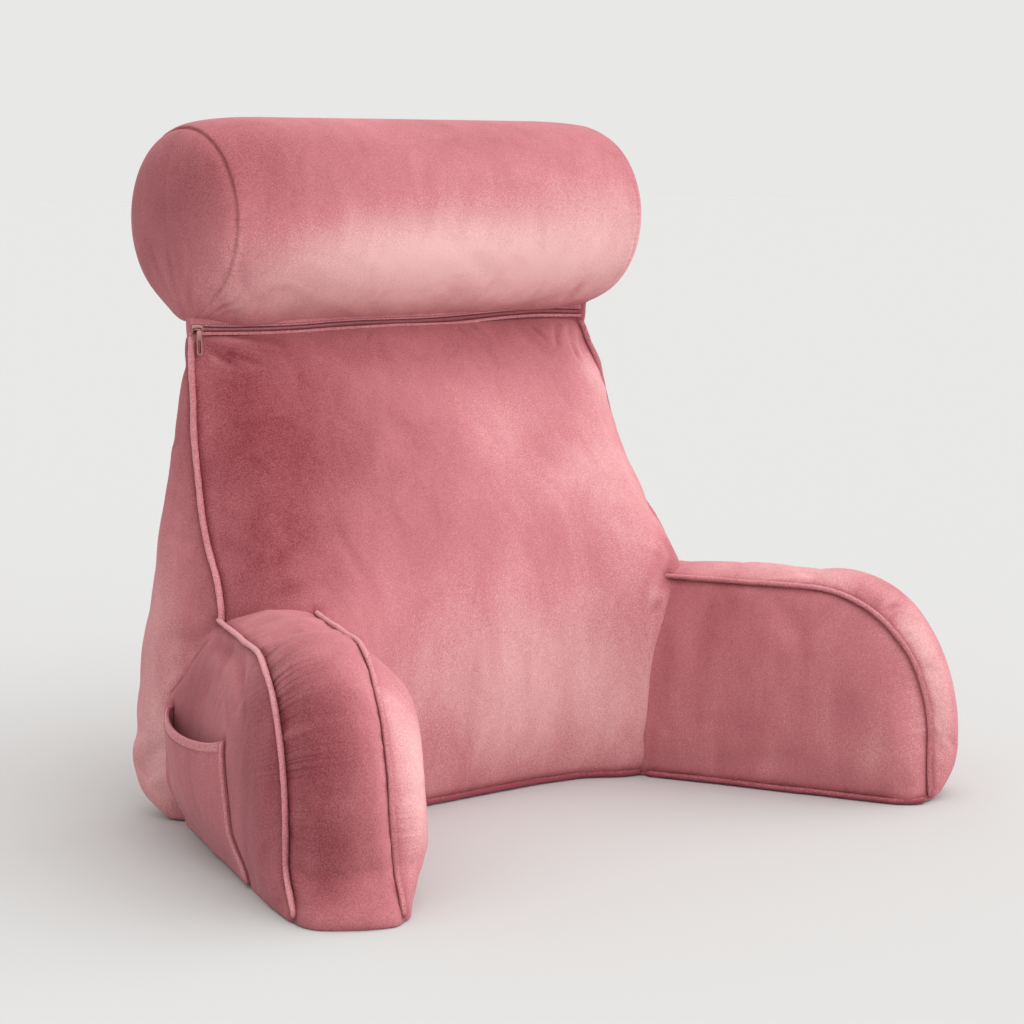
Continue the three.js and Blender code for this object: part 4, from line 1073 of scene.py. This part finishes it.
# %% Puckers and folds at the ends of the roll
ROLL_PUCKER = dict(gap=8.0, reach=10.0, strength=0.55)
SEAM_GROOVE = {-1: (0.45, 0.9), 1: (0.2, 1.5)}  # depth and width in mm at the left and the right end
DOME_FOLDS = [(-252, 178, 500, -235, 150, 447, 1.1, 4.0), (-252, 150, 500, -236, 148, 447, 1.3, 3.6),
              (-246, 116, 496, -235, 144, 446, 1.2, 3.4), (-238, 102, 486, -232, 140, 445, 0.9, 3.0),
              (-211, 106, 460, -222, 138, 443, 1.2, 3.2), (-196, 104, 460, -212, 138, 442, 0.9, 3.4)]
TUBE_FOLDS = [(-34, 76, 560, -3, 111, 451, 0.5, 5.0), (-150, 86, 580, -150, 102, 462, 0.4, 6.0),
              (60, 118, 446, 66, 92, 468, 0.8, 4.0), (130, 120, 446, 128, 94, 466, 0.8, 4.5),
              (-60, 118, 445, -54, 96, 464, 0.7, 4.0), (180, 124, 446, 176, 92, 470, 1.0, 5.0)]
place, normal = read_points(roll)
along, ring, ring_side = (read_value(roll, key) for key in ("along", "ring", "ring_side"))
angle = np.arctan2(ring_side, ring) + np.pi
fine = np.zeros(len(place))
closing = eased(np.minimum(angle, 2 * np.pi - angle) / 0.25)
for number, end in enumerate((-1, 1)):
    off = np.abs(along - end * ROLL_SEAM_X)
    inside = along * end > ROLL_SEAM_X
    off = np.where(inside, off * 2.0, off)
    ripple = puckers(angle * ROLL_RADIUS, off, seed=240 + 3 * number, **ROLL_PUCKER)
    depth, width = SEAM_GROOVE[end]
    groove = depth * bell(off, width)
    place = place + normal * ((ripple * closing * np.where(inside, 0.6, 1) - groove) * MM)[:, None]
    fine = np.maximum(fine, 0.13 * closing * np.exp(-(off / 8) ** 1.5))
creased = pressed(place, normal, DOME_FOLDS + TUBE_FOLDS)
FOLDED[roll.name] = (creased * normal).sum(1) / MM
hung = np.exp(-(((place / MM - [-231, 156, 449]) / [11, 26, 13]) ** 2).sum(1))
write_points(roll, place + creased - hung[:, None] * [0, 0, 0.008])
store(roll, "gather", np.column_stack([angle * ROLL_RADIUS, fine, 0 * fine]))
print("roll ends gathered")

# %% Creases in the backrest
BACK_CREASES = [
    (-219, 147, 416, -165, 131, 397, 2.6, 4.4), (-212, 147, 426, -130, 134, 405, -1.8, 3.6),
    (-218, 145, 414, -183, 129, 391, 1.7, 3.0), (-216, 146, 404, -190, 130, 370, 1.1, 3.4),
    (-222, 147, 424, -176, 141, 416, -1.2, 2.6), (78, 143, 424, 92, 132, 408, 1.7, 2.6),
    (60, 143, 424, 66, 134, 412, 1.1, 2.4), (-40, 141, 424, -54, 134, 411, 1.1, 2.6),
    (150, 142, 425, 162, 131, 404, 1.5, 2.8), (203, 140, 422, 200, 128, 386, 2.6, 3.6),
    (186, 141, 424, 172, 128, 396, 1.7, 3.4), (194, 141, 422, 190, 130, 400, -1.4, 3.4),
    (225, 23, 209, 179, -4, 158, 6.5, 3.6), (227, 24, 200, 196, -2, 150, -2.0, 3.0),
    (212, 14, 213, 172, -4, 168, -1.6, 4.5), (206, 16, 226, 196, 6, 212, 1.4, 3.6),
    (176, -3, 125, 174, 1, 10, 0.8, 3.0), (187, -3, 160, 175, -5, 118, 0.8, 3.0),
    (-225, 60, 270, -204, 74, 310, 0.5, 6.0), (-228, 36, 236, -196, 44, 252, 0.6, 6.0),
    (-232, 22, 214, -180, 24, 218, 0.8, 6.0),
    (-270, 66, 176, -274, 105, 137, 1.4, 3.4), (-274, 105, 137, -272, 131, 111, 1.0, 3.4),
    (-272, 131, 111, -274, 142, 92, 0.8, 3.4),
]
place, normal = read_points(backrest)
creased = pressed(place, normal, BACK_CREASES)
FOLDED[backrest.name] = (creased * normal).sum(1) / MM
place = drawn_in(place + creased, normal, backrest.name)
place[:, 2] = np.maximum(place[:, 2], 0)
write_points(backrest, place)
print("backrest creased")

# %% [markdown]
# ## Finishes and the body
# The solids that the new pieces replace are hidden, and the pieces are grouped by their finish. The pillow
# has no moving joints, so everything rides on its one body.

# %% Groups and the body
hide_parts("backrest")
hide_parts("neck_roll")
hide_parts("arm_left")
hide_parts("arm_right")
pieces = {
    "velvet": [backrest, roll, *arm_covers.values(), *neck_ends, pocket, hem, *pocket_sides, flap, lip],
    "piping": [*pipings, hem_stitches, flap_stitches],
    "zip_tape": [tape_upper, tape_lower],
    "zip_coil": [coil],
    "zip_metal": [slider, bridge, pull],
}
for slot_name, members in pieces.items():
    for piece in members:
        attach(piece, "root")
print({name: len(members) for name, members in pieces.items()})

# %% [markdown]
# ## Velvet
# Velvet is a woven ground with a short upright pile. Looking along the pile, one sees the tips and the
# cloth is pale and silvery; looking into it, one sees down between the fibres and it is deep. Brushing lays
# the pile in patches. So the colour moves between a deep and a pale tone in soft patches and by the stored
# nap, which also holds painted light and shade; a fine grain breaks it up, and sheen adds the pale rim at a
# grazing angle.

# %% Colours and node helpers
def linear(hex_colour):
    """sRGB hex to linear: (c + 0.055) / 1.055 to the power 2.4, or c / 12.92 when c is dark."""
    c = np.array([int(hex_colour[i:i + 2], 16) for i in (1, 3, 5)]) / 255
    return (*np.where(c <= 0.04045, c / 12.92, ((c + 0.055) / 1.055) ** 2.4), 1.0)


def add(tree, kind, settings=None, **links):
    """Adds one node, sets its values and sockets, and links its sockets, by name or number, to outputs."""
    made = tree.nodes.new(kind)
    for key, value in (settings or {}).items():
        if hasattr(made, key):
            setattr(made, key, value)
        else:
            made.inputs[int(key[1:]) if key[1:].isdigit() else key].default_value = value
    for key, source in links.items():
        name = key.replace("_", " ")
        socket = made.inputs[int(key[1:])] if key[1:].isdigit() else made.inputs[name]
        tree.links.new(source, socket)
    return made


def new_material(name):
    """Empty node material with its output."""
    material = bpy.data.materials.new(name)
    material.use_nodes = True
    material.node_tree.nodes.clear()
    return material, material.node_tree


# a tuft of pile is about 0.3 mm across, too fine to show, so the grain is drawn at 1.25 mm
GRAIN_MM, PATCH_MM, STREAK_MM, GATHER_MM = 1.25, 150.0, 30.0, 4.6


def brushed_velvet(name, deep, middle, pale, sheen, grain=0.20, nap=1.0, bump=0.35):
    """Brushed velvet: deep to pale tones by the sum of patches, streaks, grain and the stored nap with
    painted light and shade.
    """
    material, tree = new_material(name)
    where = add(tree, "ShaderNodeTexCoord").outputs["Object"]
    patch = add(tree, "ShaderNodeTexNoise", {"Scale": 1000 / PATCH_MM, "Detail": 2.0, "Roughness": 0.5,
                                             "Distortion": 0.5}, Vector=where)
    lying = add(tree, "ShaderNodeMapping", {"Scale": (1.0, 1.0, 0.30), "Rotation": (0.1, 0.1, 0.3)},
                Vector=where)
    streak = add(tree, "ShaderNodeTexNoise", {"Scale": 1000 / STREAK_MM, "Detail": 4.0, "Roughness": 0.62,
                                              "Distortion": 0.5}, Vector=lying.outputs[0])
    fine = add(tree, "ShaderNodeTexNoise", {"Scale": 1000 / GRAIN_MM, "Detail": 2.0, "Roughness": 0.6},
               Vector=where)
    # the stored nap also holds painted light and shade: folds, cord creases, cord sides and spots
    nap_and_painted_shading = add(tree, "ShaderNodeAttribute", {"attribute_name": "nap"}).outputs["Fac"]
    scaled = [
        add(tree, "ShaderNodeMapRange", {"From Min": 0.25, "From Max": 0.75, "To Min": -size, "To Max": size},
            Value=source.outputs["Fac"]).outputs[0]
        for source, size in ((patch, 0.16 * nap), (streak, 0.11 * nap), (fine, grain))
    ]
    total = add(tree, "ShaderNodeMath", {"operation": "ADD"}, i0=scaled[0], i1=scaled[1]).outputs[0]
    total = add(tree, "ShaderNodeMath", {"operation": "ADD"}, i0=total, i1=scaled[2]).outputs[0]
    total = add(tree, "ShaderNodeMath", {"operation": "ADD", "use_clamp": True}, i0=total, i1=nap_and_painted_shading)
    colour = add(tree, "ShaderNodeValToRGB", i0=total.outputs[0])
    stops = colour.color_ramp.elements
    stops.new(0.5)
    for stop, tone in zip(stops, (deep, middle, pale)):
        stop.color = linear(tone)
    gather = add(tree, "ShaderNodeSeparateXYZ",
                 i0=add(tree, "ShaderNodeAttribute", {"attribute_name": "gather"}).outputs["Vector"])
    fold = add(tree, "ShaderNodeTexNoise", {"noise_dimensions": "1D", "Scale": 1 / GATHER_MM, "Detail": 1.0},
               W=gather.outputs[0])
    lifted = add(tree, "ShaderNodeMath", {"operation": "MULTIPLY"},
                 i0=fold.outputs["Fac"], i1=gather.outputs[1])
    folds = add(tree, "ShaderNodeBump", {"Strength": 1.0, "Distance": 0.0095}, Height=lifted.outputs[0])
    relief = add(tree, "ShaderNodeBump", {"Strength": bump, "Distance": 0.0006}, Height=fine.outputs["Fac"],
                 Normal=folds.outputs[0])
    shader = add(tree, "ShaderNodeBsdfPrincipled", {
        "Roughness": 0.82, "Specular IOR Level": 0.18, "Sheen Weight": sheen, "Sheen Roughness": 0.42,
        "Sheen Tint": linear("#FFD9DC")}, Base_Color=colour.outputs[0], Normal=relief.outputs[0])
    add(tree, "ShaderNodeOutputMaterial", Surface=shader.outputs[0])
    return material


velvet = brushed_velvet("brushed polyester velvet", "#7E333B", "#BD757B", "#EDBDBC", 0.12,
                        grain=0.15, nap=0.62, bump=0.5)
# the cord's deep and middle tones are paler than the cover's, as painted sheen on the cords
cord_velvet_painted_paler = brushed_velvet("velvet on a bias-cut cord", "#8A3F48", "#C9848A", "#EDBDBC", 0.2,
                             grain=0.25, nap=0.5)
# sewing thread has short fibres too, but it is duller, darker and far less brushed
thread_finish = brushed_velvet("spun polyester thread", "#6E2A33", "#96505A", "#B9747B", 0.1,
                               grain=0.1, nap=0.1, bump=0.1)
print("velvets made:", velvet.name, "/", cord_velvet_painted_paler.name, "/", thread_finish.name)

# %% [markdown]
# ## Tape, coil and metal
# The zip's tape is a tight woven polyester ribbon, matt with fine slanting ribs. Its tones are set dark, so
# that it paints the shade in the narrow gap between the flap, the coil and the lip. Its coil is dyed nylon
# wire, smooth with a soft shine, and its slider is die-cast zinc with a thin bronze plating, which gives
# small bright edges. The last two are hard and nearly even, so a faint noise for wear is all that they
# need.

# %% Tape, coil and metal
def woven_tape(name, ground, light):
    """Slanting ribs about 1.4 mm apart, drawn coarser than the threads so that they show."""
    material, tree = new_material(name)
    where = add(tree, "ShaderNodeTexCoord").outputs["Object"]
    weave = add(tree, "ShaderNodeTexWave", {"Scale": 260.0, "Distortion": 0.6, "bands_direction": "DIAGONAL"},
                Vector=where)
    colour = add(tree, "ShaderNodeMix", {"data_type": "RGBA", "i6": linear(ground), "i7": linear(light)},
                 i0=weave.outputs["Fac"])
    relief = add(tree, "ShaderNodeBump", {"Strength": 0.4, "Distance": 0.0003}, Height=weave.outputs["Fac"])
    shader = add(tree, "ShaderNodeBsdfPrincipled", {"Roughness": 0.7, "Specular IOR Level": 0.3},
                 Base_Color=colour.outputs[2], Normal=relief.outputs[0])
    add(tree, "ShaderNodeOutputMaterial", Surface=shader.outputs[0])
    return material


def hard_finish(name, deep, pale, metallic, roughness, scale_mm, bump):
    """Hard surface with faint uneven wear: a noise mixes two near tones and stirs the roughness."""
    material, tree = new_material(name)
    where = add(tree, "ShaderNodeTexCoord").outputs["Object"]
    wear = add(tree, "ShaderNodeTexNoise", {"Scale": 1000 / scale_mm, "Detail": 4.0, "Roughness": 0.6},
               Vector=where)
    colour = add(tree, "ShaderNodeMix", {"data_type": "RGBA", "i6": linear(deep), "i7": linear(pale)},
                 i0=wear.outputs["Fac"])
    rough = add(tree, "ShaderNodeMapRange", {"From Min": 0.3, "From Max": 0.7, "To Min": roughness * 0.8,
                                             "To Max": roughness * 1.25}, Value=wear.outputs["Fac"])
    relief = add(tree, "ShaderNodeBump", {"Strength": bump, "Distance": 0.0002}, Height=wear.outputs["Fac"])
    shader = add(tree, "ShaderNodeBsdfPrincipled", {"Metallic": metallic}, Base_Color=colour.outputs[2],
                 Roughness=rough.outputs[0], Normal=relief.outputs[0])
    add(tree, "ShaderNodeOutputMaterial", Surface=shader.outputs[0])
    return material


# the tape is set darker than the cloth, as painted shade in the gap beside the coil
tape_finish_darkened_as_shade = woven_tape("woven polyester tape", "#86404A", "#A2565F")
coil_finish = hard_finish("dyed nylon coil", "#B5626C", "#CC7F87", 0.0, 0.45, 4.0, 0.2)
metal_finish = hard_finish("rose bronze plated zinc", "#835A56", "#A97C77", 1.0, 0.30, 3.0, 0.25)
print("zip finishes made:", tape_finish_darkened_as_shade.name, "/", coil_finish.name, "/", metal_finish.name)

# %% Put the finishes on
FINISHES = {"velvet": velvet, "piping": cord_velvet_painted_paler, "zip_tape": tape_finish_darkened_as_shade, "zip_coil": coil_finish,
            "zip_metal": metal_finish}
for slot_name, members in pieces.items():
    for piece in members:
        piece.data.materials.clear()
        piece.data.materials.append(FINISHES[slot_name])
for piece in (hem_stitches, flap_stitches):
    piece.data.materials[0] = thread_finish
# the hem, folded sides, flap and lip take the cord's paler velvet, with its painted sheen
for piece in (hem, *pocket_sides, flap, lip):
    piece.data.materials[0] = cord_velvet_painted_paler
print("finishes on", sum(map(len, pieces.values())), "pieces")

# %% [markdown]
# ## The brushed nap, with painted light and shade
# Where a hand has stroked the pillow the pile lies down. Each spot has a place, a size and a lightness. Some
# are such strokes, and many are painted light and shade: paler on faces turned to the key light, darker on
# faces turned away, and darker along a pleat and on the cords at the foot. Folds are painted darker where
# they sink and paler where they rise, the cloth beside each cord is painted darker, and each cord is painted
# paler on its upper left side and darker on the far side. The sum at a point is stored on the cloth for the
# velvet to read.

# %% Strokes of the hand, and painted light and shade
# x, y, z of the middle in mm, size along x, y and z in mm, lightness
STROKES_AND_PAINTED_SHADING = {
    "backrest_cover": [
        (-190, 90, 330, 120, 90, 110, -0.36), (-225, 30, 225, 80, 60, 60, -0.24),
        (20, 128, 412, 240, 50, 30, -0.13), (0, 30, 110, 150, 90, 95, 0.24), (0, 90, 390, 90, 60, 60, 0.06),
        (221, 20, 206, 13, 15, 16, -0.26), (209, 10, 191, 13, 15, 17, -0.26),
        (194, 2, 172, 13, 15, 18, -0.18), (-262, 160, 110, 60, 60, 80, -0.05),
        (130, 25, 80, 110, 60, 90, 0.24), (190, 60, 270, 70, 90, 100, 0.25),
        (225, 120, 370, 40, 60, 40, 0.26),
        (-268, 160, 80, 60, 60, 80, 0.36), (-262, 150, 250, 40, 60, 110, 0.20),
        (60, 90, 340, 60, 50, 40, 0.14), (40, 60, 260, 120, 60, 60, 0.08),
    ],
    "neck_roll_cover": [
        (20, 76, 484, 270, 70, 48, 0.60), (190, 90, 520, 70, 90, 70, 0.16), (0, 110, 446, 260, 40, 22, 0.16),
        (-252, 160, 520, 22, 90, 90, -0.23), (-185, 76, 560, 50, 50, 60, -0.20),
        (40, 100, 600, 220, 70, 26, -0.08),
    ],
    "arm_left_cover": [
        (-350, -120, 100, 34, 100, 130, -0.20), (-335, -200, 110, 26, 34, 90, -0.16),
        (-325, -150, 140, 60, 90, 120, -0.09), (-266, -210, 100, 30, 60, 90, 0.34),
        (-292, 70, 120, 26, 70, 70, -0.22), (-289, -92, 206, 50, 50, 14, -0.02),
        (-345, -210, 40, 20, 26, 36, -0.12),
    ],
    "arm_right_cover": [
        (215, -100, 110, 70, 110, 80, -0.02), (250, -75, 200, 90, 120, 16, 0.27),
        (312, -236, 90, 24, 40, 80, 0.27), (300, -210, 160, 30, 40, 40, 0.16),
        (230, -150, 30, 60, 80, 24, -0.10), (266, -196, 40, 30, 40, 26, 0.16),
        (222, -118, 26, 26, 40, 13, 0.12), (214, -92, 60, 20, 30, 18, -0.08),
    ],
    "pocket_cloth": [(-332, -4, 70, 60, 120, 60, -0.04)],
    "base_piping_back_cord": [(0, 0, 0, 900, 900, 90, -0.40)],
    "base_piping_arm_right_cord": [(0, 0, 0, 900, 900, 90, -0.44)],
    "piping_arm_right_inner_cord": [(0, 0, 0, 900, 900, 900, -0.08)],
}
BASE_NAP = 0.42
FOLD_PAINTED_SHADE = 0.075  # painted shade: a fold is painted darker by this for each mm that it sinks, and paler where it rises
CORD_PAINTED_LIGHT = np.array([-0.60, 0.42, 0.68])  # painted light: the side of a cord that faces this way is painted paler, and the far side darker
CORD_PAINTED_SHADE = (0.29, 5.5)  # painted shade in the crease beside a cord: how much darker, and its width in mm
for slot_name in ("velvet", "piping"):
    for piece in pieces[slot_name]:
        place, normal = read_points(piece)
        # painted shade in sunk folds and painted light on risen ones
        nap = BASE_NAP + FOLD_PAINTED_SHADE * FOLDED.get(piece.name, np.zeros(len(place)))
        cord_gap = CORD_GAP.get(piece.name, np.full(len(place), FAR_MM))
        # painted shade in the crease beside each cord
        nap = nap - CORD_PAINTED_SHADE[0] * bell(cord_gap, CORD_PAINTED_SHADE[1])
        if slot_name == "piping":
            # painted light on the upper left side of each cord and painted shade on the far side
            nap = nap + 0.26 * normal @ CORD_PAINTED_LIGHT - 0.05
        # brushed spots, and spots of painted light and shade
        for x, y, z, sx, sy, sz, light in STROKES_AND_PAINTED_SHADING.get(piece.name, []):
            gap = (place / MM - [x, y, z]) / [sx, sy, sz]
            nap += light * np.exp(-(gap ** 2).sum(1))
        store(piece, "nap", nap)
        if "gather" not in piece.data.attributes:
            store(piece, "gather", np.zeros((len(place), 3)))
print("nap laid on", len(pieces["velvet"]) + len(pieces["piping"]), "pieces")

# %% [markdown]
# ## Studio
# The floor is a wide matt sheet that meets an equally pale surround at the horizon, so no edge shows. One
# broad soft light comes from the right and a weaker one from above. The surround is dimmer on the left, as
# in a studio that has its lamps on one side. Colours are shown as they are, with no film curve.

# %% Floor and surround
FLOOR_REACH = 40.0  # metres from the middle
PALE = 0.81  # how light the floor and the horizon are, linear
LIT_SIDE, DIM_SIDE = 1.0, 0.66  # the same for the surround on the right and on the left
FLOOR_DROP, FLOOR_COLOUR = -0.0002, (0.5425, 0.5405, 0.535, 1)  # metres, and linear

floor_ends = (-FLOOR_REACH, FLOOR_REACH)
floor_corners = [[x, y, FLOOR_DROP] for y in floor_ends for x in floor_ends]
floor = piece_from("studio_floor", floor_corners, [[0, 1, 3, 2]])
floor_finish, tree = new_material("matt paper floor")
shader = add(tree, "ShaderNodeBsdfDiffuse", {"Color": FLOOR_COLOUR})
add(tree, "ShaderNodeOutputMaterial", Surface=shader.outputs[0])
floor.data.materials.append(floor_finish)

world = bpy.data.worlds.new("pale studio")
world.use_nodes = True
tree = world.node_tree
tree.nodes.clear()
toward = add(tree, "ShaderNodeTexCoord").outputs["Generated"]
side = add(tree, "ShaderNodeVectorMath", {"operation": "DOT_PRODUCT", "i1": (*RIGHT_FORWARD, 0.0)}, i0=toward)
dim, light = (
    add(tree, "ShaderNodeMapRange", {"interpolation_type": "SMOOTHSTEP", "From Min": start, "From Max": end,
                                     "To Min": low, "To Max": high}, Value=side.outputs["Value"])
    for start, end, low, high in ((-0.95, -0.22, DIM_SIDE, PALE), (0.22, 0.95, 0.0, LIT_SIDE - PALE))
)
level = add(tree, "ShaderNodeMath", {"operation": "ADD"}, i0=dim.outputs[0], i1=light.outputs[0])
around = add(tree, "ShaderNodeBackground", {"Color": (1.0, 1.0, 0.985, 1)}, Strength=level.outputs[0])
add(tree, "ShaderNodeOutputWorld", Surface=around.outputs[0])
bpy.context.scene.world = world
bpy.context.scene.view_settings.view_transform = "Standard"
print("floor and surround made")


# %% Lights and camera
def soft_sun(name, toward, strength, width):
    """Broad even light from a direction: its width is the angle in degrees that it fills."""
    lamp = bpy.data.lights.new(name, "SUN")
    lamp.energy, lamp.angle = strength, np.radians(width)
    light = bpy.data.objects.new(name, lamp)
    light.rotation_euler = (-Vector(toward)).to_track_quat("-Z", "Y").to_euler()
    bpy.context.collection.objects.link(light)
    return light


soft_sun("key_from_the_right", (0.80, -0.95, 0.75), 2.1, 110)
soft_sun("top_light", (0.15, 0.05, 1.0), 1.0, 140)

CAMERA_PLACE, CAMERA_AIM = (-1.4936, -1.7905, 0.5688), (0.1007, 0.1095, 0.2474)
CAMERA_LENS_MM, SENSOR_MM = 92.78, 36.0
camera_data = bpy.data.cameras.new("camera")
camera_data.lens, camera_data.sensor_width = CAMERA_LENS_MM, SENSOR_MM
camera = bpy.data.objects.new("camera", camera_data)
camera.location = CAMERA_PLACE
camera.rotation_euler = (Vector(CAMERA_AIM) - Vector(CAMERA_PLACE)).to_track_quat("-Z", "Y").to_euler()
bpy.context.collection.objects.link(camera)
bpy.context.scene.camera = camera
print("camera", CAMERA_LENS_MM, "mm lens")
